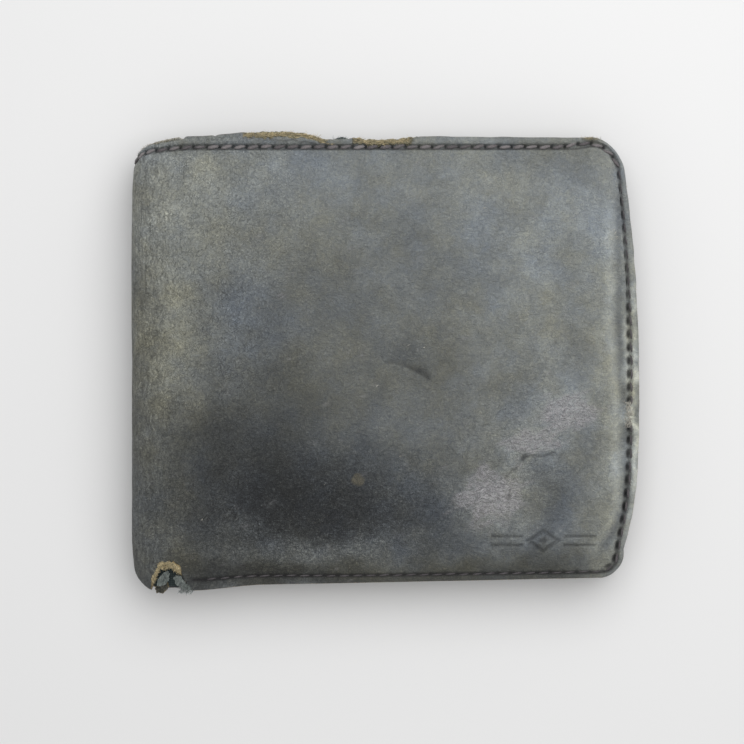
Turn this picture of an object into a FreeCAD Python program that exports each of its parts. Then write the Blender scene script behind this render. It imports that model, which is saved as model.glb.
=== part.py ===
"""A worn leather bifold wallet with a hinged centre wing, closed and lying on its back cover.

Frame: +X from the folded spine towards the free edge, +Y towards the mouth of the note
compartment, +Z up from the surface that the back cover rests on. The origin is the middle of
the wallet's footprint. Each half is a stack of sewn sheets: they are pinched together along
the seam rim and stand apart in the middle, so every sheet has a rim level and a middle level.
All sizes are in millimetres.
"""

import FreeCAD, Part
import math
import os

Vec = FreeCAD.Vector
PARTS_FOLDER = "parts"

# Whole wallet, closed
WIDTH = 109.0
HEIGHT = 97.5
THICKNESS = 15.0
BOTTOM_TAPER = 2.3        # how much higher the bottom edge is at the free side than at the spine
EDGE_BOW = 3.2            # how far the free edge bulges past its corners
BACK_REACH = 0.35         # how far the back half shows past the front half at the free edge
SPINE_CORNER = 4.5        # corner radii in plan
TOP_CORNER = 7.0
BOTTOM_CORNER = 5.0

# Spine and hinge lines
SPINE_RADIUS = 5.0        # bend of the cover where it turns into the spine
JOINT_GAP = 0.15          # half of the gap between sheets of different bodies

# Seam rim and the slope up to the middle
RIM_ENDS = 3.5            # width of the pinched rim along the top and bottom edges
RIM_SIDE = 3.4            # width of the pinched rim along the free edge
RIM_GUTTER = 2.5          # width of the pinched rim along the gutter side of the inner panels
SLOPE_ENDS = 8.0          # plan length of the slope from rim to middle
SLOPE_SIDE = 5.0
SLOPE_GUTTER = 5.0

# Sheet thicknesses
COVER = 1.2
BOARD = 0.3
LINING = 0.25
INNER_WALL = 0.3
PANEL = 0.6
POCKET_CLOTH = 0.2
GUTTER_LEATHER = 0.5
STRIP_DEPTH = 4.65        # the gutter strip's outer face below the cover's face
THREAD = 0.25

# Underside levels of the front half's sheets, as (at the rim, in the middle)
LOWER_SLOT_Z = (8.5, 8.5)
MIDDLE_SLOT_Z = (8.5, 9.2)
UPPER_SLOT_Z = (8.5, 9.9)
MIDDLE_CLOTH_Z = (9.1, 9.3)
UPPER_CLOTH_Z = (9.3, 10.1)
BASE_Z = (9.5, 11.1)
INNER_WALL_Z = (10.1, 11.9)
LINING_Z = (10.4, 13.25)
BOARD_Z = (13.5, 13.5)
COVER_Z = (10.65, 13.8)

# Card pockets: an ID-1 card is 85.6 x 54.0
CARD_HEIGHT = 54.0
CARD_SHOWS = 9.0          # how much of a seated card stands above its pocket's edge
SLOT_STEP = 12.0
LOWER_SLOT_TOP = -3.0
PANEL_TOP = 40.0
WALL_TOP = 42.0
PANEL_INSET = 0.5         # the inner panels stop this far inside the cover's edge
GUTTER_CLEARANCE = 1.9    # from the end of the spine's bend to the inner panels
LINING_INSET = 0.8

# Seams
SEAM_INSET = 1.9
SEAM_WIDTH = 0.5

# Centre wing with two clear windows
WING_THICKNESS = 1.2
WING_LEATHER = 0.4
WING_CLEAR = 0.12
WING_WIDTH = 92.0
WING_BOTTOM = -38.0
WING_TOP = 36.0
WING_CORNER = 5.0
WINDOW_MARGIN_X = 7.0
WINDOW_MARGIN_Y = 8.0
WINDOW_LAP = 2.0          # the clear sheet is sewn this far under the leather frame
HINGE_STRIP = 3.0
WING_SEAM_INSET = 1.6
WING_THREAD = 0.15

# Worked out from the dimensions above
MID_Z = THICKNESS / 2
X_SPINE = -WIDTH / 2
X_EDGE = WIDTH / 2
X_BEND = X_SPINE + SPINE_RADIUS
X_PANEL = X_BEND + GUTTER_CLEARANCE
Y_TOP = HEIGHT / 2
Y_BOTTOM = -HEIGHT / 2
Y_BOTTOM_EDGE = Y_BOTTOM + BOTTOM_TAPER
FAR = 80.0                # comfortably outside the wallet


def box(x0, x1, y0, y1, z0, z1):
    return Part.makeBox(x1 - x0, y1 - y0, z1 - z0, Vec(x0, y0, z0))


def level(z0, z1):
    """Everything between two heights."""
    return box(-FAR, FAR, -FAR, FAR, z0, z1)


def frustum(low, high, z_low, z_high):
    """A flat-faced block between two plan rectangles given as (x0, x1, y0, y1)."""
    def corners(rect, z):
        x0, x1, y0, y1 = rect
        return [Vec(x0, y0, z), Vec(x1, y0, z), Vec(x1, y1, z), Vec(x0, y1, z)]

    def face(points):
        return Part.Face(Part.makePolygon(points + points[:1]))

    a, b = corners(low, z_low), corners(high, z_high)
    faces = [face(a), face(b)]
    for i in range(4):
        j = (i + 1) % 4
        faces.append(face([a[i], a[j], b[j], b[i]]))
    solid = Part.Solid(Part.Shell(faces))
    if solid.Volume < 0:
        solid.reverse()
    return solid


def roof(levels, gutter_rim=False):
    """All the space from the wallet's mid plane up to a sheet's surface at these levels."""
    rim, middle = levels
    block = box(-FAR, FAR, -FAR, FAR, MID_Z, rim)
    if middle - rim < 1e-6:
        return block
    left = X_PANEL + RIM_GUTTER if gutter_rim else -FAR
    left_step = SLOPE_GUTTER if gutter_rim else 0.0
    low = (left, X_EDGE - RIM_SIDE, Y_BOTTOM_EDGE + RIM_ENDS, Y_TOP - RIM_ENDS)
    high = (low[0] + left_step, low[1] - SLOPE_SIDE, low[2] + SLOPE_ENDS, low[3] - SLOPE_ENDS)
    return block.fuse(frustum(low, high, rim, middle))


def raised(levels, by):
    return levels[0] + by, levels[1] + by


def outline_prism(reach=0.0):
    """The cover's plan outline as a tall prism. reach moves the free edge outwards."""
    corner_x = X_EDGE - BACK_REACH + reach - EDGE_BOW
    bottom_corner = Vec(corner_x, Y_BOTTOM_EDGE, 0)
    top_corner = Vec(corner_x, Y_TOP, 0)
    bow = Vec(corner_x + EDGE_BOW, (Y_TOP + Y_BOTTOM_EDGE) / 2, 0)
    spine_bottom, spine_top = Vec(X_SPINE, Y_BOTTOM, 0), Vec(X_SPINE, Y_TOP, 0)
    wire = Part.Wire([
        Part.makeLine(spine_bottom, bottom_corner),
        Part.Arc(bottom_corner, bow, top_corner).toShape(),
        Part.makeLine(top_corner, spine_top),
        Part.makeLine(spine_top, spine_bottom),
    ])
    prism = Part.Face(wire).extrude(Vec(0, 0, THICKNESS + 2))
    prism.translate(Vec(0, 0, -1))
    radii = [
        (spine_bottom, SPINE_CORNER), (spine_top, SPINE_CORNER),
        (top_corner, TOP_CORNER), (bottom_corner, BOTTOM_CORNER),
    ]
    for corner, radius in radii:
        upright = [
            e for e in prism.Edges
            if all(math.hypot(v.X - corner.x, v.Y - corner.y) < 1e-3 for v in e.Vertexes)
        ]
        prism = prism.makeFillet(radius, upright)
    return prism


def shrunk(prism, inset):
    """The same plan outline moved inwards, as a tall prism."""
    base = min(prism.Faces, key=lambda f: f.CenterOfMass.z)
    inner = base.makeOffset2D(-inset)
    solid = inner.extrude(Vec(0, 0, THICKNESS + 2))
    solid.translate(Vec(0, 0, -1 - inner.BoundBox.ZMin))
    return solid


def sheet(levels, thickness, footprint, gutter_rim=False):
    body = roof(raised(levels, thickness), gutter_rim).common(footprint)
    return body.cut(roof(levels, gutter_rim))


def seam(prism, x0, y1, z0):
    """A thread sunk in a sheet just inside the outline, right of x0 and below y1."""
    ring = shrunk(prism, SEAM_INSET).cut(shrunk(prism, SEAM_INSET + SEAM_WIDTH))
    return ring.common(box(x0, FAR, -FAR, y1, z0, z0 + THREAD))


def half_sheets(reach):
    """Every sheet of the front half, by its name without the half's prefix."""
    outline = outline_prism(reach)
    right_of_spine = box(X_BEND + JOINT_GAP, FAR, -FAR, FAR, 0, THICKNESS)
    panel_area = shrunk(outline, PANEL_INSET)

    def panel(y0, y1, x0=X_PANEL):
        return panel_area.common(box(x0, FAR, y0, y1, 0, THICKNESS))

    middle_top = LOWER_SLOT_TOP + SLOT_STEP
    upper_top = middle_top + SLOT_STEP
    pocket_depth = CARD_HEIGHT - CARD_SHOWS
    lining_area = shrunk(outline, LINING_INSET).common(right_of_spine)
    board_area = box(
        X_BEND + 1.0, X_EDGE - RIM_SIDE - SLOPE_SIDE,
        Y_BOTTOM_EDGE + RIM_ENDS + SLOPE_ENDS, Y_TOP - RIM_ENDS - SLOPE_ENDS, 0, THICKNESS,
    )
    sheets = {
        "cover_panel": sheet(COVER_Z, COVER, outline.common(right_of_spine)),
        "cover_board": sheet(BOARD_Z, BOARD, board_area),
        "cover_lining": sheet(LINING_Z, LINING, lining_area),
        "note_wall": sheet(INNER_WALL_Z, INNER_WALL, panel(-FAR, WALL_TOP), True),
        "base_panel": sheet(BASE_Z, PANEL, panel(-FAR, PANEL_TOP), True),
        "upper_card_slot": sheet(UPPER_SLOT_Z, PANEL, panel(middle_top, upper_top), True),
        "upper_pocket_cloth": sheet(
            UPPER_CLOTH_Z, POCKET_CLOTH, panel(upper_top - pocket_depth, middle_top), True
        ),
        "middle_card_slot": sheet(MIDDLE_SLOT_Z, PANEL, panel(LOWER_SLOT_TOP, middle_top), True),
        "middle_pocket_cloth": sheet(
            MIDDLE_CLOTH_Z, POCKET_CLOTH, panel(middle_top - pocket_depth, LOWER_SLOT_TOP), True
        ),
        "lower_card_slot": sheet(LOWER_SLOT_Z, PANEL, panel(-FAR, LOWER_SLOT_TOP), True),
    }
    cover_face = COVER_Z[0] + COVER
    panel_face = LOWER_SLOT_Z[0]
    gutter_x = X_PANEL + 0.9
    threads = {
        "cover_thread": seam(outline, X_BEND + JOINT_GAP, FAR, cover_face - THREAD),
        "panel_thread": seam(outline, X_PANEL + 2.5, upper_top - 0.5, panel_face),
        "gutter_thread": box(
            gutter_x, gutter_x + SEAM_WIDTH, Y_BOTTOM_EDGE + 1.5, upper_top - 0.5,
            panel_face, panel_face + THREAD,
        ),
    }
    sunk_in = {
        "cover_panel": ["cover_thread"],
        "lower_card_slot": ["panel_thread", "gutter_thread"],
        "middle_card_slot": ["panel_thread", "gutter_thread"],
        "upper_card_slot": ["panel_thread", "gutter_thread"],
    }
    for name, its_threads in sunk_in.items():
        for thread in its_threads:
            sheets[name] = sheets[name].cut(threads[thread])
    sheets.update(threads)
    return sheets


def flipped(shape):
    """The same sheet in the back half."""
    return shape.mirror(Vec(0, 0, MID_Z), Vec(0, 0, 1))


def spine_slab(depth, end):
    """A solid slab with the closed wallet's rounded spine, shrunk by depth and cut off at x = end."""
    left, low, high = X_SPINE + depth, depth, THICKNESS - depth
    radius = max(SPINE_RADIUS - depth, 0.5)
    turn = radius * (1 - math.sqrt(0.5))
    y = -FAR
    wire = Part.Wire([
        Part.makeLine(Vec(end, y, low), Vec(left + radius, y, low)),
        Part.Arc(
            Vec(left + radius, y, low), Vec(left + turn, y, low + turn), Vec(left, y, low + radius)
        ).toShape(),
        Part.makeLine(Vec(left, y, low + radius), Vec(left, y, high - radius)),
        Part.Arc(
            Vec(left, y, high - radius), Vec(left + turn, y, high - turn),
            Vec(left + radius, y, high),
        ).toShape(),
        Part.makeLine(Vec(left + radius, y, high), Vec(end, y, high)),
        Part.makeLine(Vec(end, y, high), Vec(end, y, low)),
    ])
    return Part.Face(wire).extrude(Vec(0, 2 * FAR, 0))


def pinched_slab(depth):
    """The same slab, pinched along the top and bottom rims as the cover is."""
    upper = roof((COVER_Z[0] + COVER - depth, THICKNESS - depth))
    return spine_slab(depth, X_BEND + 1).common(upper.fuse(flipped(upper)))


def spine_sheet(depth, thickness, footprint):
    """A sheet that wraps the spine with its outer face this deep."""
    wrap = pinched_slab(depth).cut(pinched_slab(depth + thickness))
    return wrap.common(footprint).common(box(-FAR, X_BEND - JOINT_GAP, -FAR, FAR, -1, FAR))


def spine_thread(side):
    """The hem thread sunk in the cover across the spine, at the top (+1) or the bottom (-1)."""
    skin = pinched_slab(0.0).cut(pinched_slab(THREAD))
    strip = Part.makeBox(4 * SPINE_RADIUS, SEAM_WIDTH, 2 * THICKNESS)
    strip.translate(Vec(-2 * SPINE_RADIUS, -SEAM_WIDTH / 2, -THICKNESS / 2))
    strip.rotate(Vec(0, 0, 0), Vec(0, 0, 1), 30 * side)
    strip.translate(Vec(X_BEND - 1.5, side * (Y_TOP - SEAM_INSET) - 1.0 * side, 0))
    return skin.common(strip).common(box(-FAR, X_BEND - JOINT_GAP, -FAR, FAR, -1, FAR))


def spine_sheets():
    outline = outline_prism()
    sheets = {
        "spine_cover": spine_sheet(0.0, COVER, outline),
        "spine_lining": spine_sheet(COVER + 0.05, LINING, shrunk(outline, LINING_INSET)),
        "spine_top_thread": spine_thread(1),
        "spine_bottom_thread": spine_thread(-1),
    }
    for name in ("spine_top_thread", "spine_bottom_thread"):
        sheets["spine_cover"] = sheets["spine_cover"].cut(sheets[name])
    end = X_PANEL - JOINT_GAP
    strip = spine_slab(STRIP_DEPTH, end).cut(spine_slab(STRIP_DEPTH + GUTTER_LEATHER, end + 1))
    sheets["gutter_strip"] = strip.common(
        box(-FAR, end, Y_BOTTOM + 2.5, WALL_TOP, 0, THICKNESS)
    )
    return sheets


def wing_plate(z0, z1, margin=0.0):
    """A rounded plate of the wing's outline, margin inside it."""
    x0 = X_PANEL + HINGE_STRIP + margin
    x1 = X_PANEL + WING_WIDTH - margin
    plate = box(x0, x1, WING_BOTTOM + margin, WING_TOP - margin, z0, z1)
    outer = [
        e for e in plate.Edges
        if abs(e.Vertexes[0].Z - e.Vertexes[-1].Z) > 1e-6 and e.Vertexes[0].X > 0
    ]
    return plate.makeFillet(max(WING_CORNER - margin, 1.0), outer)


def window_opening(lap=0.0):
    return box(
        X_PANEL + HINGE_STRIP + WINDOW_MARGIN_X - lap, X_PANEL + WING_WIDTH - WINDOW_MARGIN_X + lap,
        WING_BOTTOM + WINDOW_MARGIN_Y - lap, WING_TOP - WINDOW_MARGIN_Y + lap, 0, THICKNESS,
    )


def wing_sheets():
    """The wing: two framed clear windows, back to back on one cloth core, on a leather strip."""
    low, high = MID_Z - WING_THICKNESS / 2, MID_Z + WING_THICKNESS / 2
    pane = window_opening(WINDOW_LAP)
    core_low, core_high = low + WING_LEATHER + WING_CLEAR, high - WING_LEATHER - WING_CLEAR
    ring = wing_plate(0, THICKNESS, WING_SEAM_INSET).cut(
        wing_plate(0, THICKNESS, WING_SEAM_INSET + SEAM_WIDTH)
    )
    sheets = {
        "wing_back_frame": wing_plate(low, low + WING_LEATHER).cut(window_opening()),
        "wing_back_window": pane.common(level(low + WING_LEATHER, core_low)),
        "wing_core_cloth": wing_plate(core_low, core_high, 0.8),
        "wing_front_window": pane.common(level(core_high, high - WING_LEATHER)),
        "wing_front_frame": wing_plate(high - WING_LEATHER, high).cut(window_opening()),
        "wing_back_thread": ring.common(level(low, low + WING_THREAD)),
        "wing_front_thread": ring.common(level(high - WING_THREAD, high)),
        "wing_hinge_strip": box(
            X_PANEL, X_PANEL + HINGE_STRIP, WING_BOTTOM + 1, WING_TOP - 1, MID_Z - 0.3, MID_Z + 0.3
        ),
    }
    for side in ("back", "front"):
        frame = sheets[f"wing_{side}_frame"]
        sheets[f"wing_{side}_frame"] = frame.cut(sheets[f"wing_{side}_thread"])
    return sheets


def all_nodes():
    nodes = {"front_" + name: shape for name, shape in half_sheets(0.0).items()}
    for name, shape in half_sheets(BACK_REACH).items():
        nodes["back_" + name] = flipped(shape)
    nodes.update(spine_sheets())
    nodes.update(wing_sheets())
    return nodes


def main():
    os.makedirs(PARTS_FOLDER, exist_ok=True)
    for name, shape in sorted(all_nodes().items()):
        solids = shape.Solids
        if len(solids) != 1 or not solids[0].isValid():
            raise ValueError(f"{name} has {len(solids)} solids")
        size = solids[0].BoundBox
        print(
            f"{name:26s} {solids[0].Volume:8.1f} mm3  x {size.XMin:6.2f} {size.XMax:6.2f}"
            f"  y {size.YMin:6.2f} {size.YMax:6.2f}  z {size.ZMin:5.2f} {size.ZMax:5.2f}"
        )
        solids[0].exportStep(os.path.join(PARTS_FOLDER, name + ".step"))


main()
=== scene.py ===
"""Looks of a worn grey folding wallet with a hinged centre wing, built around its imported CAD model.

Lengths are in millimetres until a mesh is made. A cover is described on its unrolled sheet: q runs
from the middle of the spine round the bend and on towards the free edge, where it equals x, and y
runs along the spine. Each front piece is made first, and the back ones are its mirror image.
"""

import math

import bmesh
import bpy
import numpy as np
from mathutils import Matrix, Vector


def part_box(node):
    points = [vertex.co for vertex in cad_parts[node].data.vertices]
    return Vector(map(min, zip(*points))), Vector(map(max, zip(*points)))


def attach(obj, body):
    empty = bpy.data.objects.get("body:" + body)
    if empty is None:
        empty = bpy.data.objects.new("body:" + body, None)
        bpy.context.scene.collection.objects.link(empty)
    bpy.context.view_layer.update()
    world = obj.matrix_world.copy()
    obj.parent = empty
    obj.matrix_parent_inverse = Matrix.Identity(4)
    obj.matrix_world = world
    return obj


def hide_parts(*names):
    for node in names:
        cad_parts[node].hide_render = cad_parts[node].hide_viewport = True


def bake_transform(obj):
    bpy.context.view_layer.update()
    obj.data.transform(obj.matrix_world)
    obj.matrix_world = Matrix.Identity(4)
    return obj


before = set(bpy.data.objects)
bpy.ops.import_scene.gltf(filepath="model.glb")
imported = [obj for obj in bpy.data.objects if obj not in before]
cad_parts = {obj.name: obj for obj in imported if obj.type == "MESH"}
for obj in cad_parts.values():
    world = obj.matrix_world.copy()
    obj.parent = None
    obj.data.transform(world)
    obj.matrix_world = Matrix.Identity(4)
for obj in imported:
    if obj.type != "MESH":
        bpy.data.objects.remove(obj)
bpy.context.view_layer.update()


def box_mm(node):
    low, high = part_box(node)
    return np.array(low) * 1000, np.array(high) * 1000


# Sizes read from the CAD model
COVER_LOW, COVER_HIGH = box_mm("front_cover_panel")
SPINE_LOW, SPINE_HIGH = box_mm("spine_cover")
X_SPINE = SPINE_LOW[0]
X_BEND = round((SPINE_HIGH[0] + COVER_LOW[0]) / 2, 3)
X_PANEL = box_mm("front_base_panel")[0][0]
Y_TOP = SPINE_HIGH[1] - 0.45
Y_BOTTOM = SPINE_LOW[1]
THICK = SPINE_HIGH[2]
MID = THICK / 2
EDGE_X = {"front": COVER_HIGH[0] + 0.3, "back": box_mm("back_cover_panel")[1][0] + 0.5}
RIM_HEIGHT = 4.35          # of the cover's face above the middle plane, at the seam rim
BEND_RADIUS = X_BEND - X_SPINE

# Sizes that repeat the CAD model's
COVER = 1.2
TAPER = 2.3
BOW = 3.2
WIDEST_Y = -6.0
TOP_CORNER = 7.3
BOTTOM_CORNER = 5.0
SLOPE_TOP, SLOPE_BOTTOM = 13.0, 15.0
RIM_SIDE, SLOPE_SIDE = 3.4, 5.0
COVER_RIM_SIDE, COVER_SLOPE_SIDE = 2.4, 4.4
RIM_GUTTER, SLOPE_GUTTER = 2.5, 5.0
STITCH = 2.85

STRAIGHT = MID - BEND_RADIUS
Q_MIN = X_BEND - STRAIGHT - BEND_RADIUS * math.pi / 2


# ---------------------------------------------------------------- small helpers

def smooth(t):
    t = np.clip(t, 0.0, 1.0)
    return t * t * (3 - 2 * t)


def bump(x, centre, width):
    return np.exp(-(((x - centre) / width) ** 2))


def band(x, low, rise, high, fall):
    """1 between two places, rising from low over one width and falling from high over another."""
    return smooth((x - low) / rise) * (1 - smooth((x - high) / fall))


def to_disc(u, v):
    """A place in the square from -1 to 1, moved into the round disc."""
    return u * np.sqrt(np.maximum(1 - v * v / 2, 0)), v * np.sqrt(np.maximum(1 - u * u / 2, 0))


def look_up(table, x):
    """The value at x of a table of (x, value) rows."""
    return np.interp(x, table[:, 0], table[:, 1])


def noise(x, y, cell, seed):
    """Smooth noise from -1 to 1, with features about this many millimetres across."""
    grid = np.random.default_rng(seed).uniform(-1, 1, (199, 199))
    u, v = np.asarray(x) / cell + 700.0, np.asarray(y) / cell + 700.0
    i, j = np.floor(u).astype(int), np.floor(v).astype(int)
    f, g = smooth(u - i), smooth(v - j)
    i0, j0, i1, j1 = i % 199, j % 199, (i + 1) % 199, (j + 1) % 199
    low = grid[i0, j0] * (1 - f) + grid[i1, j0] * f
    high = grid[i0, j1] * (1 - f) + grid[i1, j1] * f
    return low * (1 - g) + high * g


def rough(x, y, cell, seed):
    """Three sizes of noise together."""
    total, size = 0.0, 1.0
    for k in range(3):
        total = total + size * noise(x, y, cell / 2**k, seed + k)
        size *= 0.55
    return total / 1.6


def steps(start, *runs):
    """Places from start through each (end, step) run, as even as each run allows."""
    places = [np.array([start])]
    for end, step in runs:
        count = max(1, round((end - start) / step))
        places.append(np.linspace(start, end, count + 1)[1:])
        start = end
    return np.concatenate(places)


def make_mesh(name, points, faces, **values):
    """An object with smooth faces. values are attributes, one number or vector for each point."""
    mesh = bpy.data.meshes.new(name)
    mesh.from_pydata((np.asarray(points) / 1000).tolist(), [], [tuple(f) for f in faces])
    mesh.update()
    for key, value in values.items():
        value = np.asarray(value, np.float32)
        kind = "FLOAT_VECTOR" if value.ndim == 2 else "FLOAT"
        attribute = mesh.attributes.new(key, kind, "POINT")
        attribute.data.foreach_set("vector" if value.ndim == 2 else "value", value.ravel())
    work = bmesh.new()
    work.from_mesh(mesh)
    bmesh.ops.recalc_face_normals(work, faces=work.faces)
    work.to_mesh(mesh)
    work.free()
    mesh.polygons.foreach_set("use_smooth", np.ones(len(mesh.polygons), bool))
    made = bpy.data.objects.new(name, mesh)
    bpy.context.scene.collection.objects.link(made)
    return made


def quads(a, b, c, d):
    return np.stack([a.ravel(), b.ravel(), c.ravel(), d.ravel()], 1)


def closed_sheet(name, outer, inner, edge_rings=3, bulge=0.8, **values):
    """A closed sheet between two grids of points of one shape, with a rounded edge all round.

    values are attributes: one number for the whole sheet, or a number or vector for each place.
    """
    n, m = outer.shape[:2]
    index = np.arange(n * m).reshape(n, m)
    a, b, c, d = index[:-1, :-1], index[1:, :-1], index[1:, 1:], index[:-1, 1:]
    faces = [quads(a, b, c, d), quads(a, d, c, b) + n * m]
    loop = np.concatenate([index[0, :-1], index[:-1, -1], index[-1, :0:-1], index[:0:-1, 0]])
    inside = np.concatenate([index[1, :-1], index[:-1, -2], index[-2, :0:-1], index[:0:-1, 1]])
    top, low = outer.reshape(-1, 3), inner.reshape(-1, 3)
    outward = top[loop] - top[inside]
    outward /= np.maximum(np.linalg.norm(outward, axis=1, keepdims=True), 1e-9)
    half = (top[loop] - low[loop]) / 2
    middle = (top[loop] + low[loop]) / 2
    reach = np.linalg.norm(half, axis=1, keepdims=True) * bulge
    points, rings = [top, low], [loop]
    for k in range(1, edge_rings + 1):
        turn = math.pi * k / (edge_rings + 1)
        points.append(middle + half * math.cos(turn) + outward * reach * math.sin(turn))
        rings.append(np.arange(len(loop)) + 2 * n * m + (k - 1) * len(loop))
    rings.append(loop + n * m)
    for r, s in zip(rings[:-1], rings[1:]):
        faces.append(quads(r, s, np.roll(s, -1), np.roll(r, -1)))
    edge = np.zeros(2 * n * m + edge_rings * len(loop))
    edge[2 * n * m:] = 1.0
    spread = {"edge": edge}
    for key, value in values.items():
        value = np.asarray(value, float)
        flat = (value if value.ndim == 3 else np.broadcast_to(value, (n, m))).reshape(n * m, -1)
        whole = np.concatenate([flat, flat] + [flat[loop]] * edge_rings)
        spread[key] = whole if flat.shape[1] == 3 else whole[:, 0]
    points = np.concatenate(points)
    if "rest" not in spread:
        spread["rest"] = points
    return make_mesh(name, points, np.concatenate(faces), **spread)


def on_half(points, half):
    """The front half's points, or their mirror image in the back half."""
    return points if half == "front" else points * [1, 1, -1] + [0, 0, THICK]


# ---------------------------------------------------------------- outline and heights

# The top corner at the spine: how far in from the spine, and how much lower than the top edge
CORNER_DROP = np.array([
    (0.0, 4.4), (0.35, 3.6), (0.8, 2.8), (1.4, 2.2), (2.0, 1.85), (2.8, 1.5), (3.8, 1.2), (5.2, 0.9),
    (6.5, 0.62), (8.0, 0.36), (10.0, 0.15), (12.0, 0.0),
])


def free_edge(y, half="front"):
    """The bowed free edge, which is widest a little below its middle."""
    above = np.clip(y - WIDEST_Y, 0, 50) / 43.0
    below = np.clip(WIDEST_Y - y, 0, 34) / 32.0
    return EDGE_X[half] - 0.8 * BOW * above**2.1 - 0.86 * BOW * below**3.2


def plan_x(q):
    """The plan x of a place on the unrolled cover."""
    turn = np.clip((q - Q_MIN - STRAIGHT) / BEND_RADIUS, 0, math.pi / 2)
    return X_SPINE + BEND_RADIUS * (1 - np.cos(turn)) + np.maximum(q - X_BEND, 0)


def bottom_edge(q):
    x = plan_x(q)
    a = np.clip(x - X_SPINE, 0, 4.5)
    corner = 4.5 - np.sqrt(np.maximum(4.5**2 - (4.5 - a) ** 2, 0))
    flare = 0.95 * (1 - smooth((X_SPINE + 28.0 - x) / 15.0))
    return Y_BOTTOM - 0.1 + corner + flare + TAPER * 0.88 * np.clip(x + 42.0, 0, 110) / 100.0


def top_edge(q):
    return Y_TOP - look_up(CORNER_DROP, plan_x(q) - X_SPINE)


def bow_share(q):
    return smooth((q - 5.0) / (EDGE_X["front"] - 5.0))


def bowed(q, y, half):
    """Moves the places of a straight-edged sheet so that its free edge is bowed."""
    return q - bow_share(q) * (EDGE_X[half] - free_edge(y, half))


def nominal(q, y, half="front"):
    """The same place on a plain rectangle, from Q_MIN to the free edge and Y_BOTTOM to Y_TOP."""
    low, high = bottom_edge(q), top_edge(q)
    return (
        q + bow_share(q) * (EDGE_X[half] - free_edge(y, half)),
        Y_BOTTOM + (y - low) / (high - low) * (Y_TOP - Y_BOTTOM),
    )


def edge_distance(q, y, half="front"):
    """Distance inside the cover's outline, not counting its torn places."""
    qn, yn = nominal(q, y, half)
    right = EDGE_X[half] - qn
    distance = np.minimum(right, np.minimum(Y_TOP - yn, yn - Y_BOTTOM))
    for gap, radius in ((Y_TOP - yn, TOP_CORNER), (yn - Y_BOTTOM, BOTTOM_CORNER)):
        a, b = radius - right, radius - gap
        corner = (a > 0) & (b > 0)
        distance = np.where(corner, radius - np.hypot(a, b), distance)
    return distance


CORNERS = ((1, Y_TOP, TOP_CORNER), (-1, Y_BOTTOM, BOTTOM_CORNER))


def round_corners(q, y, edge_x, corners=CORNERS):
    """Moves the places of a rectangle's grid so that its free corners are round."""
    for sign, line, radius in corners:
        a = (q - (edge_x - radius)) / radius
        b = (sign * (y - line) + radius) / radius
        inside = (a > 0) & (b > 0)
        new_a, new_b = to_disc(a, b)
        q = np.where(inside, edge_x - radius + radius * new_a, q)
        y = np.where(inside, line - sign * radius + sign * radius * new_b, y)
    return q, y


def swell(x, y, rim_side=RIM_SIDE, slope_side=SLOPE_SIDE, gutter=False):
    """0 at the pinched seam rim and 1 in the middle."""
    share = smooth((EDGE_X["front"] - rim_side - x) / slope_side)
    uneven = 1 + 0.3 * noise(x, y, 17.0, 12)
    share = share * smooth((Y_TOP - 3.0 - y) / (SLOPE_TOP * uneven))
    share = share * smooth((y - Y_BOTTOM - TAPER - 2.6) / (SLOPE_BOTTOM * uneven))
    if gutter:
        share = share * smooth((x - X_PANEL - RIM_GUTTER) / SLOPE_GUTTER)
    return share


def pinch(q, y):
    """How far the spine is pushed in where it tapers to its two ends."""
    top = 1.15 * np.clip((y - 36.0) / 11.5, 0, 1) ** 1.6
    low = 1.1 * np.clip((-38.0 - y) / 10.5, 0, 1) ** 1.5
    return (top + low) * (1 - smooth((q - Q_MIN - 3.0) / 16.0))


def sway(x, y):
    """A slow unevenness that a half's sheets all share."""
    return 0.16 * noise(x, y, 26.0, 11) * swell(x, y)


def wrap(q, y, depth=0.0, lift=0.0, rim_side=RIM_SIDE, slope_side=SLOPE_SIDE):
    """A place on a sheet round the spine: this deep under the cover's face, then lifted."""
    along = q - Q_MIN
    turn = np.clip((along - STRAIGHT) / BEND_RADIUS, 0, math.pi / 2)
    x = plan_x(q)
    up = np.minimum(along, STRAIGHT) + BEND_RADIUS * np.sin(turn)
    height = RIM_HEIGHT + (MID - RIM_HEIGHT) * swell(x, y, rim_side, slope_side)
    z = MID + up * height / MID + sway(x, y) * np.sin(turn)
    out = lift - depth
    return np.stack([x - out * np.cos(turn) + pinch(q, y), y + 0 * x, z + out * np.sin(turn)], -1)


def cover_face(q, y, lift, depth=0.0):
    """A place on the outer leather, this deep under its face and then lifted."""
    return wrap(q, y, depth, lift, COVER_RIM_SIDE, COVER_SLOPE_SIDE)


# ---------------------------------------------------------------- cover

# The torn corner: how high it is open above the bottom edge, along q
TEAR = np.array([
    (-51.4, 0.0), (-50.9, 0.9), (-50.2, 2.0), (-49.5, 3.3), (-48.9, 4.5), (-48.1, 5.2), (-47.2, 5.0),
    (-46.5, 5.2), (-45.6, 5.1), (-44.9, 4.6), (-44.0, 3.8), (-43.2, 2.4), (-42.6, 1.6),
    (-42.0, 0.9), (-41.2, 0.0),
])


def tear_height(q):
    """How high the torn corner is open above the bottom edge."""
    height = look_up(TEAR, q)
    return height + 0.35 * noise(q, 0, 0.45, 3) * smooth(height / 1.5)


# How far the top edge stands past the outline, along q
BITES = np.array([
    (-48.0, 0.0), (-38.0, 0.35), (-33.0, 0.7), (-31.0, 0.95), (-26.0, 1.1), (-20.0, 1.1),
    (-17.0, 0.75), (-14.5, 0.1), (-12.0, -0.6), (-10.0, -0.55), (-8.0, -0.4), (-7.0, -0.1),
    (-5.5, -0.15), (-2.0, -0.6), (2.0, -0.35), (5.5, 0.1), (9.0, 0.2), (40.0, 0.0),
])


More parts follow.
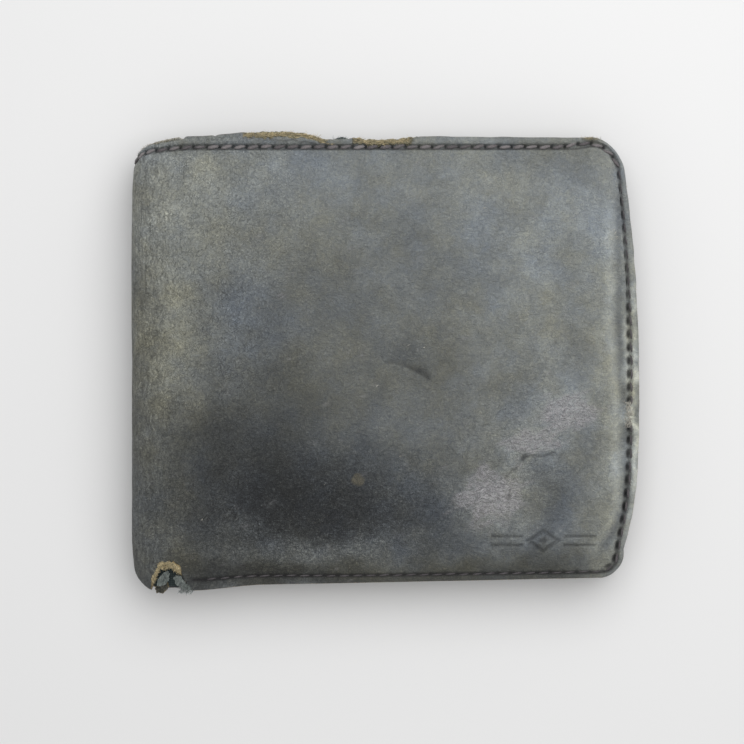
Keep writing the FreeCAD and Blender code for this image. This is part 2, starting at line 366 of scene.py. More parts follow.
def frayed_top(q):
    """How far the frayed top edge stands past the cover's outline."""
    torn = band(q, -31, 2, 6, 3)
    ragged = torn * (0.16 * noise(q, 0, 1.3, 5) + 0.14 * noise(q, 0, 0.45, 6))
    nick = -0.45 * bump(q, -43.6, 0.5) - 0.3 * bump(q, -36.5, 0.4)
    return look_up(BITES, q) + ragged + nick + 0.06 * noise(q, 0, 3.0, 7)


def fray_line(q):
    """The top edge along the spine side, without its raggedness."""
    return Y_TOP + look_up(BITES, q)


def seam_inset(q, y):
    """The seam's distance from the edge."""
    near_spine = (1 - smooth((q - Q_MIN - 3.0) / 10.0)) * (y > 0)
    low = np.interp(q, (-44.0, -30.0, -5.0, 45.0), (2.2, 1.9, 1.45, 1.15))
    inset = 1.95 - 0.85 * near_spine
    inset = inset + (low - inset) * smooth((-40.0 - y) / 4.0)
    heights = (-44.0, -38.0, -10.0, 20.0, 36.0, 42.0, 46.5)
    side = np.interp(y, heights, (1.15, 1.6, 1.8, 1.55, 1.4, 1.15, 1.2))
    return inset + (side - inset) * smooth((q - 40.0) / 6.0)


def seam_line(half, start, end):
    """Places a tenth of a millimetre apart along the seam, from the spine's top round to its bottom."""
    edge_x, step = EDGE_X[half], 0.1
    arc = np.linspace(0, math.pi / 2, 80)
    top_x, top_y = edge_x - TOP_CORNER, Y_TOP - TOP_CORNER
    low_x, low_y = edge_x - BOTTOM_CORNER, Y_BOTTOM + BOTTOM_CORNER
    line = [(q, Y_TOP) for q in np.arange(start, top_x, step)]
    line += [(top_x + TOP_CORNER * math.sin(t), top_y + TOP_CORNER * math.cos(t)) for t in arc]
    line += [(edge_x, y) for y in np.arange(top_y, low_y, -step)]
    line += [(low_x + BOTTOM_CORNER * math.cos(t), low_y - BOTTOM_CORNER * math.sin(t)) for t in arc]
    line = np.array(line + [(q, Y_BOTTOM) for q in np.arange(low_x, end, -step)])
    way = np.gradient(line, axis=0)
    way /= np.linalg.norm(way, axis=1, keepdims=True)
    inward = np.stack([way[:, 1], -way[:, 0]], 1)
    line = line + inward * seam_inset(line[:, 0], line[:, 1])[:, None]
    q, yn = line.T
    low, high = bottom_edge(q), top_edge(q)
    y = low + (yn - Y_BOTTOM) / (Y_TOP - Y_BOTTOM) * (high - low)
    return np.stack([bowed(q, y, half), y], 1)


def along_line(line, places):
    """The places at these lengths along a line of points."""
    length = np.concatenate([[0], np.cumsum(np.linalg.norm(np.diff(line, axis=0), axis=1))])
    return np.stack([np.interp(places, length, line[:, k]) for k in range(line.shape[1])], 1)


def line_length(line):
    return np.linalg.norm(np.diff(line, axis=0), axis=1).sum()


def is_worn_through(q, y):
    """Where the side seam's thread has gone."""
    return (q > 48) & (y > -13.6) & (y < -8.7)


def card_line(y):
    """Where the edge of the cards shows through."""
    return 47.6 + 1.7 * smooth((12.0 - y) / 25.0) - 5.6 * smooth((-29.0 - y) / 14.0)


class Cover:
    """The outer leather of one half, from the middle of the spine to the free edge."""

    def __init__(self, half):
        self.half = half
        self.front = half == "front"
        self.line = seam_line(half, Q_MIN + 2.2, -41.2 if self.front else Q_MIN + 2.2)
        count = int(line_length(self.line) / STITCH)
        self.holes = along_line(self.line, np.arange(count + 1) * STITCH)
        middle = along_line(self.line, (np.arange(count) + 0.5) * STITCH)
        kept = ~is_worn_through(middle[:, 0], middle[:, 1]) if self.front else np.ones(count, bool)
        self.stitch_ends = [(self.holes[k], self.holes[k + 1]) for k in range(count) if kept[k]]

    def lift(self, q, y):
        """Height of the leather's face above its smooth form, and how dark its colour is made: a darker
        seam groove, and painted shade in stitch holes, open slits, dents, creases and pressed marks.
        """
        distance, inset = edge_distance(q, y, self.half), seam_inset(q, y)
        side = (q > 47) * smooth((44.5 - np.abs(y + 1.0)) / 2.5)
        low = smooth((-42.0 - y) / 3.0)
        here = 1 + 0 * q
        if self.front:
            gone = band(y, -14.2, 0.9, -9.0, 0.9) * side
            here = (1 - 0.93 * gone) * (1 - (y < 0) * (1 - smooth((q + 42.5) / 1.5)))
        depth = 0.45 - 0.2 * low
        wide = 0.6 - 0.18 * low - side * (0.14 + 0.14 * smooth((y - 4.0) / 12.0))
        groove = np.exp(-(np.abs(distance - inset) / wide) ** 3) * here
        lift = -depth * groove
        lift = lift + 0.16 * bump(distance, inset - 0.95, 0.5) * here
        lift = lift - 0.35 * smooth((0.55 - distance) / 0.55)
        top = smooth((y - 44.0) / 2.0) * (q < 50)
        dark = (0.62 + 0.3 * low - 0.36 * top) * groove
        # Painted shade: thin dark lines along both sides of the top seam's stitches.
        dark = np.maximum(dark, 0.85 * top * bump(distance, inset + 0.52, 0.2))
        dark = np.maximum(dark, 0.6 * top * bump(distance, inset - 0.5, 0.16))
        for a, b in self.stitch_ends:
            middle = (a + b) / 2
            near = (np.abs(q - middle[0]) < 2.4) & (np.abs(y - middle[1]) < 2.4)
            if not near.any():
                continue
            way = (b - a) / np.linalg.norm(b - a)
            u, v = q[near] - middle[0], y[near] - middle[1]
            run, off = u * way[0] + v * way[1], -(u * way[1] - v * way[0])
            beside = side[near]
            thin = 0.17 + 0.36 * (1 - smooth((middle[1] - 6.0) / 14.0))
            # Painted shade inside the side seam's open slits.
            slit = np.exp(-(np.hypot(run / 1.12, (off + 0.3) / thin)) ** 4) * beside
            lift[near] -= 0.75 * slit
            dark[near] = np.maximum(dark[near], slit)
        for hq, hy in self.holes:
            near = (np.abs(q - hq) < 1.6) & (np.abs(y - hy) < 1.6)
            if not near.any():
                continue
            gap = np.hypot(q[near] - hq, (y[near] - hy) * 0.85)
            strength = (1 - 0.75 * side[near]) * (1 - 0.4 * low[near]) * here[near]
            # Painted shade in each stitch hole.
            lift[near] -= 0.5 * np.exp(-((gap / 0.55) ** 2)) * strength
            dark[near] = np.maximum(dark[near], np.exp(-((gap / 0.47) ** 4)) * strength)
        lift = lift + self.wrinkles(q, y)
        if self.front:
            marks, pressed = self.marks(q, y), ornament(q, y)
            lift = lift + marks - 0.42 * pressed
            # Painted shade in the pressed ornament and in the dents and creases.
            dark = np.maximum(dark, 0.38 * pressed)
            dark = np.maximum(dark, 0.6 * smooth((-marks - 0.06) / 0.42))
        return lift, dark

    def wrinkles(self, q, y):
        """Fine creases along the bend, a soft unevenness and the cards' outline."""
        bend = 1 - smooth((q - X_BEND - 2.0) / 6.0)
        wave = q + 0.55 * noise(q, y, 9.0, 21) + 0.2 * noise(q, y, 3.0, 22)
        lines = np.sin(wave * 5.2) * (0.5 + 0.5 * noise(q, y, 6.0, 23))
        lines = lines + 0.6 * np.sin(wave * 9.7 + 3 * noise(q, y, 12.0, 24))
        lift = 0.035 * lines * bend
        ridge_x = card_line(y)
        ridge = band(y, -45, 6, 27, 12)
        lift = lift + 0.42 * bump(q, ridge_x, 1.7) * ridge
        lift = lift - 0.2 * bump(q, ridge_x + 2.4, 0.9) * ridge
        lift = lift - 0.12 * bump(q, ridge_x - 4.5, 2.5) * ridge
        return lift + 0.10 * noise(q, y, 11.0, 25) + 0.035 * noise(q, y, 3.2, 26)

    def marks(self, q, y):
        """Dents, creases and nicks of the front."""
        lift = 0 * q
        arc = y - (0.3 - 0.12 * q - 0.03 * q * q)
        reach = band(q, -1.2, 3.0, 9.0, 1.4) * (0.42 + 0.055 * np.clip(q, 0, 10))
        hollow = np.where(arc > 0, bump(arc, 0, 1.7), bump(arc, 0, 0.38))
        lift -= 0.5 * hollow * reach
        lift += 0.24 * bump(arc, -1.6, 1.1) * reach
        uneven = 0.7 + 0.3 * noise(q, y, 1.6, 71)
        for deep, width, points in (
            (0.55, 0.34, ((29.2, -20.3), (31.4, -19.7), (33.4, -20.0), (35.4, -19.3), (37.2, -19.4))),
            (0.5, 0.4, ((29.9, -19.8), (29.3, -21.0), (27.8, -22.6), (26.9, -23.0), (25.5, -24.6))),
            (0.25, 0.4, ((31.6, -19.8), (32.4, -22.4), (31.9, -24.4))),
            (0.22, 0.35, ((35.6, -19.4), (36.8, -21.6), (36.4, -23.4))),
            (0.25, 0.35, ((27.6, -22.7), (25.4, -21.7), (23.0, -22.3))),
            (0.2, 0.35, ((24.6, -24.9), (21.2, -24.3), (18.6, -25.2))),
            (0.3, 0.3, ((33.6, -14.3), (34.9, -14.7), (35.6, -14.2))),
            (0.14, 0.4, ((30.5, -10.5), (33.4, -12.2), (37.6, -11.9), (40.8, -13.4))),
            (0.3, 0.25, ((-0.9, 1.0), (-0.2, 0.2), (1.6, -0.2))),
        ):
            lift -= deep * uneven * crease(q, y, points, width)
        lift += 0.14 * bump(y, -18.4, 0.7) * bump(q, 33.0, 4.0)
        creased = bump(q, 29.0, 9.0) * bump(y, -22.0, 8.0)
        for cell, seed, deep in ((4.2, 76, 0.17), (2.4, 77, 0.1)):
            fine = noise(0.8 * q + 0.6 * y, 1.6 * y - 0.7 * q, cell, seed)
            fine = np.exp(-np.abs(fine / 0.13) ** 1.3) * (0.5 + 0.5 * noise(q, y, 3.0, 78))
            lift -= deep * fine * creased
        for x0, y0, y1, deep in (
            (-43.4, 35.2, 43.0, 0.24), (-34.0, 38.5, 43.5, 0.16), (-32.0, 36.5, 40.5, 0.12),
            (-39.0, 29.0, 34.0, 0.12), (-47.5, 18.0, 30.0, 0.14), (-20.5, -36.0, -27.0, 0.1),
        ):
            path = x0 + 0.7 * noise(y, 0, 1.9, 74) + 0.25 * noise(y, 0, 0.8, 75)
            ends = smooth((y - y0) / 1.2) * smooth((y1 - y) / 1.2)
            lift -= deep * np.exp(-np.abs((q - path) / 0.22) ** 1.5) * ends
        for x0, y0, wide, tall, deep in (
            (26.4, -28.9, 0.5, 0.7, 0.35), (-27.4, 11.4, 0.9, 0.3, 0.26),
            (-5.8, -24.8, 1.1, 1.1, 0.05), (0.9, -6.3, 1.6, 0.6, 0.08), (12.0, -41.0, 5.0, 1.2, 0.12),
            (-41.7, 37.5, 0.25, 3.0, 0.1), (-21.0, -31.0, 0.3, 2.6, 0.07), (44.0, 12.0, 3.0, 0.5, 0.09),
        ):
            lift -= deep * bump(q, x0, wide) * bump(y, y0, tall)
        return lift


def crease(q, y, points, width):
    """1 on a crooked line through these places, fading to 0 beside it."""
    nearest = np.full(np.shape(q), 9.0)
    for (x0, y0), (x1, y1) in zip(points[:-1], points[1:]):
        dx, dy = x1 - x0, y1 - y0
        run = np.clip(((q - x0) * dx + (y - y0) * dy) / (dx**2 + dy**2), 0, 1)
        nearest = np.minimum(nearest, np.hypot(q - x0 - run * dx, y - y0 - run * dy))
    return np.exp(-((nearest / width) ** 1.5))


def ornament(q, y):
    """A pressed lozenge between two pairs of short rules: 1 in its grooves."""
    u, v = q - 33.9, y + 38.1
    ring = np.abs(np.abs(u) / 3.1 + np.abs(v) / 2.2 - 1.0) * 1.8
    shape = np.exp(-((ring / 0.42) ** 4))
    small = np.abs(u) / 1.0 + np.abs(v) / 0.75
    shape = np.maximum(shape, 1 - smooth((small - 0.6) / 0.8))
    for offset in (-0.95, 0.95):
        rule = np.exp(-(((v - offset) / 0.3) ** 4))
        ends = smooth((np.abs(u) - 4.2) / 0.4) * (1 - smooth((np.abs(u) - 11.0) / 0.5))
        shape = np.maximum(shape, rule * ends)
    return shape


def front_rawness(q, y):
    """0 to 1: how far the leather's grain is worn off, showing its tan fibres."""
    distance = edge_distance(q, y)
    along_tear = np.abs(y - bottom_edge(q) - tear_height(q))
    broad = 0.75 + 0.65 * smooth((q + 49.6) / 1.2)
    torn = smooth((broad + 0.55 * noise(q, y, 0.9, 31) + 0.3 * noise(q, y, 0.35, 30) - along_tear) / 0.4)
    torn = torn * band(q, -51.3, 0.8, -44.2, 0.8)
    below = fray_line(q) - y
    top = smooth((1.3 + 0.5 * noise(q, y, 2.2, 32) + 0.4 * noise(q, y, 0.6, 33) - below) / 0.4)
    where = band(q, -31, 1.5, -13.5, 2) + band(q, -7.5, 1, 5, 2)
    spot = bump(q, 52.2, 1.3) * bump(y, -11.0, 2.0)
    spot = smooth((spot + 0.5 * noise(q, y, 0.8, 34) - 0.5) / 0.3)
    corner = 0.5 * bump(q, 44.0, 2.2) * bump(y, 48.0, 0.8)
    rubbed = smooth((0.5 + 0.35 * noise(q, y, 1.5, 37) - distance) / 0.3) * (y > 30)
    corner = corner + 0.75 * rubbed * (1 - smooth((q + 47) / 4))
    return np.clip(torn + 0.85 * top * where + 0.12 * spot + corner, 0, 1)


# Lighter and darker places of the front: x, y, width, height, change of brightness as a logarithm.
# Most are the leather's own blotches. Some are painted light: a lighter ridge along the right edge, partly
# worn and partly a painted highlight; a painted highlight over the pale patches low on the right; and
# painted shade along the bottom slope and on the spine.
TONES = (
    (0.0, 46.0, 60.0, 20.0, 0.22), (34.0, 30.0, 20.0, 20.0, 0.28), (-25.0, -4.0, 12.0, 12.0, -0.45),
    (0.0, -4.0, 18.0, 12.0, -0.28), (-22.0, -27.0, 17.0, 11.5, -1.6), (-4.0, -33.0, 21.0, 9.5, -1.25),
    (-41.0, -33.0, 12.0, 12.0, -0.75), (-53.0, -5.0, 4.5, 45.0, -0.3), (-43.0, 0.0, 5.0, 16.0, 0.12),
    (15.0, -44.0, 40.0, 4.0, -0.35), (37.0, -12.5, 8.0, 5.0, 0.2), (24.0, -29.5, 9.5, 7.0, 0.45),
    (28.0, -16.0, 8.0, 4.0, 0.25), (48.5, -4.0, 2.6, 32.0, 0.33), (35.0, -30.5, 4.5, 7.0, -0.5),
    (37.0, -42.0, 10.0, 4.0, -0.3), (46.0, 20.0, 7.0, 18.0, 0.1),
    (-40.0, 34.0, 16.0, 16.0, 0.30), (-47.0, 0.0, 6.0, 28.0, 0.26), (50.0, -8.0, 5.0, 32.0, 0.16),
    (32.0, 5.0, 10.0, 14.0, 0.2), (-41.0, -15.0, 8.0, 7.0, -0.45), (-30.0, -45.5, 17.0, 3.2, -0.75),
    (25.0, -45.5, 18.0, 3.0, -0.35), (-13.0, -39.0, 15.0, 3.6, 0.75), (46.0, -28.0, 4.5, 15.0, 0.2),
    (54.0, -10.0, 1.2, 42.0, 0.3), (41.0, -40.0, 5.0, 4.0, 0.25), (-50.0, 43.0, 7.0, 5.0, 0.22),
    (-33.0, -14.0, 15.0, 7.0, -0.34), (-47.0, -16.0, 8.0, 9.0, -0.14), (53.6, -8.0, 1.7, 36.0, 0.25),
    (52.3, -11.0, 1.4, 2.4, 0.5), (-14.0, -46.0, 32.0, 2.8, -0.6), (35.0, -46.0, 9.0, 2.4, -0.25),
    (22.0, 42.5, 6.0, 3.0, -0.14), (39.0, 43.0, 4.0, 3.0, -0.14), (-13.0, 13.5, 8.0, 6.0, -0.12),
    (42.0, 8.0, 6.0, 5.0, -0.12), (32.5, -26.5, 3.2, 4.0, -0.26), (40.0, -27.5, 3.5, 4.5, 0.1),
    (46.5, -27.0, 3.5, 5.0, 0.08), (6.0, 25.0, 10.0, 6.0, -0.08), (10.0, -20.0, 10.0, 6.0, -0.12),
    (46.0, -44.5, 4.5, 3.5, 0.3),
    (53.0, -12.0, 2.0, 30.0, 0.3), (-30.5, -33.0, 4.5, 2.6, 0.5), (-50.0, -34.0, 4.0, 6.0, -0.2),
    (28.0, 8.0, 14.0, 12.0, 0.12), (10.0, -48.5, 60.0, 1.5, -0.45), (36.0, -39.0, 9.0, 4.0, 0.15),
    (-45.0, 36.0, 15.0, 14.0, 0.14), (-48.0, 0.0, 7.0, 24.0, 0.13), (54.0, -5.0, 1.8, 45.0, 0.3),
    (49.0, -27.0, 5.0, 6.0, 0.2), (39.5, -10.0, 4.5, 3.5, 0.4), (32.0, -18.0, 6.0, 5.0, 0.15),
    (32.0, -27.0, 4.0, 4.0, 0.12), (45.5, 12.0, 4.0, 12.0, 0.1), (-30.0, 5.0, 6.0, 8.0, 0.08),
    (-37.0, 43.0, 5.0, 3.5, 0.24), (-22.0, -6.0, 9.0, 5.0, 0.12), (-14.0, 25.0, 10.0, 5.0, 0.07),
    (-2.4, -27.0, 3.6, 3.6, 0.1), (-30.0, -33.0, 4.0, 3.0, 0.12), (10.5, 4.0, 7.0, 5.0, 0.09),
    (-50.0, 7.0, 4.0, 5.0, 0.08), (32.0, 25.0, 4.0, 4.0, 0.07), (46.0, 37.0, 3.5, 3.5, 0.07),
    (39.0, -9.5, 3.5, 3.0, 0.1), (53.0, -24.0, 1.8, 9.0, 0.08), (53.0, 3.0, 1.8, 12.0, 0.07),
    (18.0, 19.0, 4.0, 4.0, 0.06), (-44.0, 16.5, 4.5, 6.5, -0.1), (-25.0, -4.0, 4.0, 4.0, -0.06),
    (-43.5, -22.0, 4.0, 3.5, -0.07), (18.5, -33.0, 3.5, 3.0, -0.07), (53.0, -27.0, 1.5, 4.0, 0.1),
)

# Greener (positive) and bluer (negative) places of the front
TINTS = (
    (-48.0, 2.0, 8.0, 26.0, 1.1), (-44.0, 36.0, 8.0, 8.0, 0.3), (-37.0, 43.0, 5.0, 3.0, 0.6),
    (54.0, 20.0, 2.0, 30.0, -0.3), (-24.0, 22.0, 14.0, 6.0, 0.6),
    (-14.0, -4.0, 12.0, 8.0, 0.6), (14.0, 6.0, 8.0, 8.0, 0.6), (35.0, 9.0, 5.0, 5.0, 0.7),
    (49.0, -5.0, 4.0, 34.0, 0.5), (44.0, -36.0, 7.0, 8.0, 0.1), (24.0, -29.0, 9.0, 6.0, 0.3),
    (0.0, -45.0, 40.0, 3.0, 0.9), (-42.0, -43.0, 6.0, 4.0, 0.8), (54.0, 0.0, 1.6, 46.0, 0.8),
    (36.0, -12.0, 11.0, 5.0, -0.3), (20.0, 22.0, 20.0, 12.0, -0.25), (44.0, 36.0, 9.0, 9.0, -0.4),
    (-28.0, 10.0, 9.0, 9.0, -0.9), (-20.0, -26.0, 20.0, 11.0, -0.8), (6.0, -33.0, 12.0, 8.0, -0.8),
    (36.0, -32.0, 5.0, 8.0, -0.6), (-16.0, 43.0, 10.0, 5.0, -0.6),
)


def painted(table, q, y):
    """The sum of a table's soft patches, with ragged outlines."""
    x = np.where(q < X_BEND, X_BEND + (q - X_BEND) * 0.55, q)
    x = x + 3.2 * rough(q, y, 12.0, 51) + 1.2 * rough(q, y, 3.0, 53)
    y = y + 3.2 * rough(q, y, 12.0, 55) + 1.2 * rough(q, y, 3.0, 57)
    total = 0 * q
    for x0, y0, wide, tall, change in table:
        total = total + change * bump(x, x0, wide) * bump(y, y0, tall)
    return total


def front_tone(q, y):
    """Brightness of the front's leather, partly painted light, its one tan spot, and its pale patches,
    which are rubbed wear with a painted sheen.
    """
    tone = 0.192 * np.exp(painted(TONES, q, y))
    tone = tone * (1 + 0.12 * rough(q, y, 13.0, 41) + 0.10 * rough(q, y, 4.5, 44))
    # Painted highlight on the ridge that the cards' edge raises, and painted shade in the valley beside it.
    line = card_line(y)
    ridge = band(y, -43, 5, 30, 12)
    tone = tone * (1 + ridge * (0.24 * bump(q, line + 0.1, 1.0) - 0.3 * bump(q, line + 2.4, 0.9)))
    # The pale patches low on the right: rubbed wear, with a painted sheen where the light catches them.
    ragged = 0.55 * rough(q + 0.4 * y, 2.2 * y - 0.9 * q, 4.0, 45)
    rubbed = 1.3 * bump(q, 22.5, 6.0) * bump(y, -28.5, 5.6)
    rubbed = rubbed + 1.25 * bump(q, 38.5, 6.5) * bump(y, -10.5, 4.2)
    rubbed = rubbed + 0.75 * bump(q, 30.0, 7.0) * bump(y, -17.0, 3.0)
    pale = smooth((rubbed + ragged - 0.3) / 0.55)
    spot = smooth((1.55 + 0.3 * noise(q, y, 1.2, 48) - np.hypot(q + 5.8, y + 24.8)) / 0.5)
    # Painted shade in the fine creases along the bend.
    folds = np.abs(np.sin((q + 0.5 * noise(q, y, 7.0, 49)) * 3.1)) ** 6
    bend = 1 - smooth((q - X_BEND) / 6.0)
    tone = tone * (1 - 0.16 * folds * bend * (0.6 + 0.4 * noise(q, y, 5.0, 50)))
    return tone, spot, pale


def front_grit(q, y):
    """How coarse the grain shows: most at the spine side and in the dark patch."""
    grit = 0.34 + 0.2 * smooth((-6.0 - q) / 24.0)
    grit = grit + 1.3 * bump(q, -14.0, 26.0) * bump(y, -32.0, 12.0)
    grit = grit + 0.35 * bump(q, 30.0, 12.0) * bump(y, -20.0, 14.0)
    return grit + 0.1 * rough(q, y, 8.0, 58)


def back_tone(q, y):
    """Brightness of the back's leather."""
    tone = 0.12 * (1 + 0.22 * rough(q, y, 16.0, 61) + 0.12 * rough(q, y, 4.5, 64))
    rubbed = bump(edge_distance(q, y, "back"), 6.0, 4.0)
    return tone + 0.035 * rubbed * (1 + noise(q, y, 8.0, 67))


def cover_grid(half):
    """Grid places on the unrolled cover, closer together where there is fine detail."""
    edge_x = EDGE_X[half]
    if half == "front":
        q = steps(Q_MIN, (-52.2, 0.3), (-40.8, 0.2), (-31, 0.42), (11, 0.3), (21, 0.45),
                  (47.5, 0.24), (edge_x, 0.24))
        y = steps(Y_BOTTOM, (-42.3, 0.22), (-33.8, 0.24), (-8, 0.4), (2, 0.25), (42, 0.6),
                  (Y_TOP, 0.22))
    else:
        q = steps(Q_MIN, (-42, 0.4), (46, 0.9), (edge_x, 0.28))
        y = steps(Y_BOTTOM, (-42, 0.3), (42, 0.9), (Y_TOP, 0.28))
    q, y = np.meshgrid(q, y, indexing="ij")
    q, y = round_corners(q, y, edge_x)
    low, high = bottom_edge(q), top_edge(q)
    if half == "front":
        low, high = low + tear_height(q), high + frayed_top(q)
    else:
        high = high + 0.08 * noise(q, 0, 2.5, 8)
    y = low + (y - Y_BOTTOM) / (Y_TOP - Y_BOTTOM) * (high - low)
    q = bowed(q, y, half)
    q = q + 0.07 * noise(y, 0, 2.2, 9) * smooth((q - 50) / 3)
    return q, y


def build_cover(cover):
    """The mesh of one half's outer leather, with the values its material reads."""
    half = cover.half
    q, y = cover_grid(half)
    lift, dark = cover.lift(q, y)
    if cover.front:
        raw = front_rawness(q, y)
        (tone, spot, pale), tint, grit = front_tone(q, y), painted(TINTS, q, y), front_grit(q, y)
        # The valley beside the cards' ridge is made bluer, as part of its painted shade.
        tint = tint - 0.35 * bump(q, card_line(y) + 2.4, 1.1) * smooth((y + 43) / 5)
        lift = lift + raw * (-0.22 + 0.16 * noise(q, y, 0.55, 35))
        curl = smooth((1.6 - np.abs(y - bottom_edge(q) - tear_height(q))) / 1.6)
        lift = lift + 0.35 * curl * band(q, -51, 2, -44, 3)
        raised_lip = smooth((1.6 - edge_distance(q, y)) / 1.6) * (y > 40)
        lift = lift + 0.4 * raised_lip * band(q, -40, 8, -20, 8)
        under_fray = bump(fray_line(q) - y + 0.2 * noise(q, 0, 1.4, 38), 1.6, 0.24)
        dark = np.maximum(dark, 0.6 * under_fray * band(q, -28, 4, -12.5, 2))
    else:
        raw = smooth((0.3 - edge_distance(q, y, "back") + 0.3 * noise(q, y, 2.0, 36)) / 0.3) * 0.5
        tone, tint, grit, spot, pale = back_tone(q, y), 0.5 * noise(q, y, 14.0, 68), 0.7, 0, 0
    outer = on_half(cover_face(q, y, lift), half)
    inner = on_half(cover_face(q, y, 0.2 * lift * swell(plan_x(q), y), COVER), half)
    return closed_sheet(
        f"outer_cover_{half}", outer, inner, 3, 0.55, tone=tone, tint=tint, grit=grit, raw=raw,
        dark=dark, spot=spot, pale=pale, rest=np.stack([q, y, 0 * q + (0 if cover.front else 40)], -1),
    )


# ---------------------------------------------------------------- stitches and fibres

def stitch_shape(rings, sides):
    """One stitch of unit half length along X: points as (x, across, up), and faces."""
    points = []
    for x in np.linspace(-1, 1, rings):
        size = math.sqrt(max(1 - abs(x) ** 3.2, 0)) * 0.94 + 0.06
        for turn in 2 * math.pi * np.arange(sides) / sides:
            strand = size * (1 + 0.13 * math.cos(2 * turn - 5.5 * x))
            points.append((x, strand * math.cos(turn), strand * math.sin(turn)))
    index = np.arange(rings * sides).reshape(rings, sides)
    a, b = index[:-1], index[1:]
    faces = quads(a, b, np.roll(b, -1, 1), np.roll(a, -1, 1)).tolist()
    return np.array(points), faces + [index[0].tolist(), index[-1, ::-1].tolist()]


def stitches(name, ends, surface, seed, half_width=0.3, half_height=0.2, sink=0.07, slant=0.18,
             rings=7, sides=8, sizes=1.0, shifts=0.0, tones=1.0):
    """A seam. ends are pairs of places, and surface turns places and a lift into points."""
    shape, shape_faces = stitch_shape(rings, sides)
    random = np.random.default_rng(seed)
    each = [np.broadcast_to(value, len(ends)) for value in (sizes, shifts, tones)]
    points, faces, shades = [], [], []
    for (start, end), size, aside, tone in zip(ends, *each):
        way = (end - start) * 0.5
        side = np.array([-way[1], way[0]]) / np.linalg.norm(way)
        turn = slant + random.normal(0, 0.07)
        wide, high = random.uniform(0.88, 1.12, 2)
        shift = random.normal(0, 0.05)
        across = shape[:, 1:2] * half_width * wide * size + shape[:, :1] * turn * size + shift + aside
        places = (start + end) / 2 + shape[:, :1] * way * (0.7 + 0.16 * size) + side * across
        dive = 0.34 * np.abs(shape[:, 0]) ** 3
        lift = shape[:, 2] * half_height * high * size - sink - dive
        faces += [[v + len(points) * len(shape) for v in f] for f in shape_faces]
        points.append(surface(places[:, 0], places[:, 1], lift))
        shades.append(np.full(len(shape), random.uniform(0.1, 1) * tone))
    points = np.concatenate(points)
    return make_mesh(name, points, faces, shade=np.concatenate(shades), rest=points)


def fibres(name, patches, seed, curl=0.6):
    """Loose fibres: thin three-sided strands that taper and wander from their roots."""
    roots, ways, lengths, widths = (np.concatenate(part) for part in zip(*patches))
    random = np.random.default_rng(seed)
    count, joints = len(roots), 6
    ways = ways / np.linalg.norm(ways, axis=1, keepdims=True)
    drift = random.normal(0, 1, (count, 3)) * [1, 1, 0.6]
    across = np.cross(ways, drift)
    across /= np.linalg.norm(across, axis=1, keepdims=True)
    over = np.cross(ways, across)
    points = np.zeros((count, joints, 3, 3))
    place, way = roots.copy(), ways.copy()
    for k in range(joints):
        width = (widths * (1 - 0.85 * k / (joints - 1)))[:, None]
        for s in range(3):
            turn = 2 * math.pi * s / 3
            points[:, k, s] = place + width * (across * math.cos(turn) + over * math.sin(turn))
        way = way + curl * random.normal(0, 0.45, (count, 3)) + curl * 0.25 * drift
        way /= np.linalg.norm(way, axis=1, keepdims=True)
        place = place + way * (lengths / (joints - 1))[:, None]
    index = np.arange(count * joints * 3).reshape(count, joints, 3)
    a, b = index[:, :-1], index[:, 1:]
    faces = quads(a, b, np.roll(b, -1, 2), np.roll(a, -1, 2)).tolist()
    faces += index[:, 0, ::-1].tolist() + index[:, -1].tolist()
    shade = np.repeat(random.uniform(0, 1, count), joints * 3)
    points = points.reshape(-1, 3)
    return make_mesh(name, points, faces, shade=shade, rest=points)


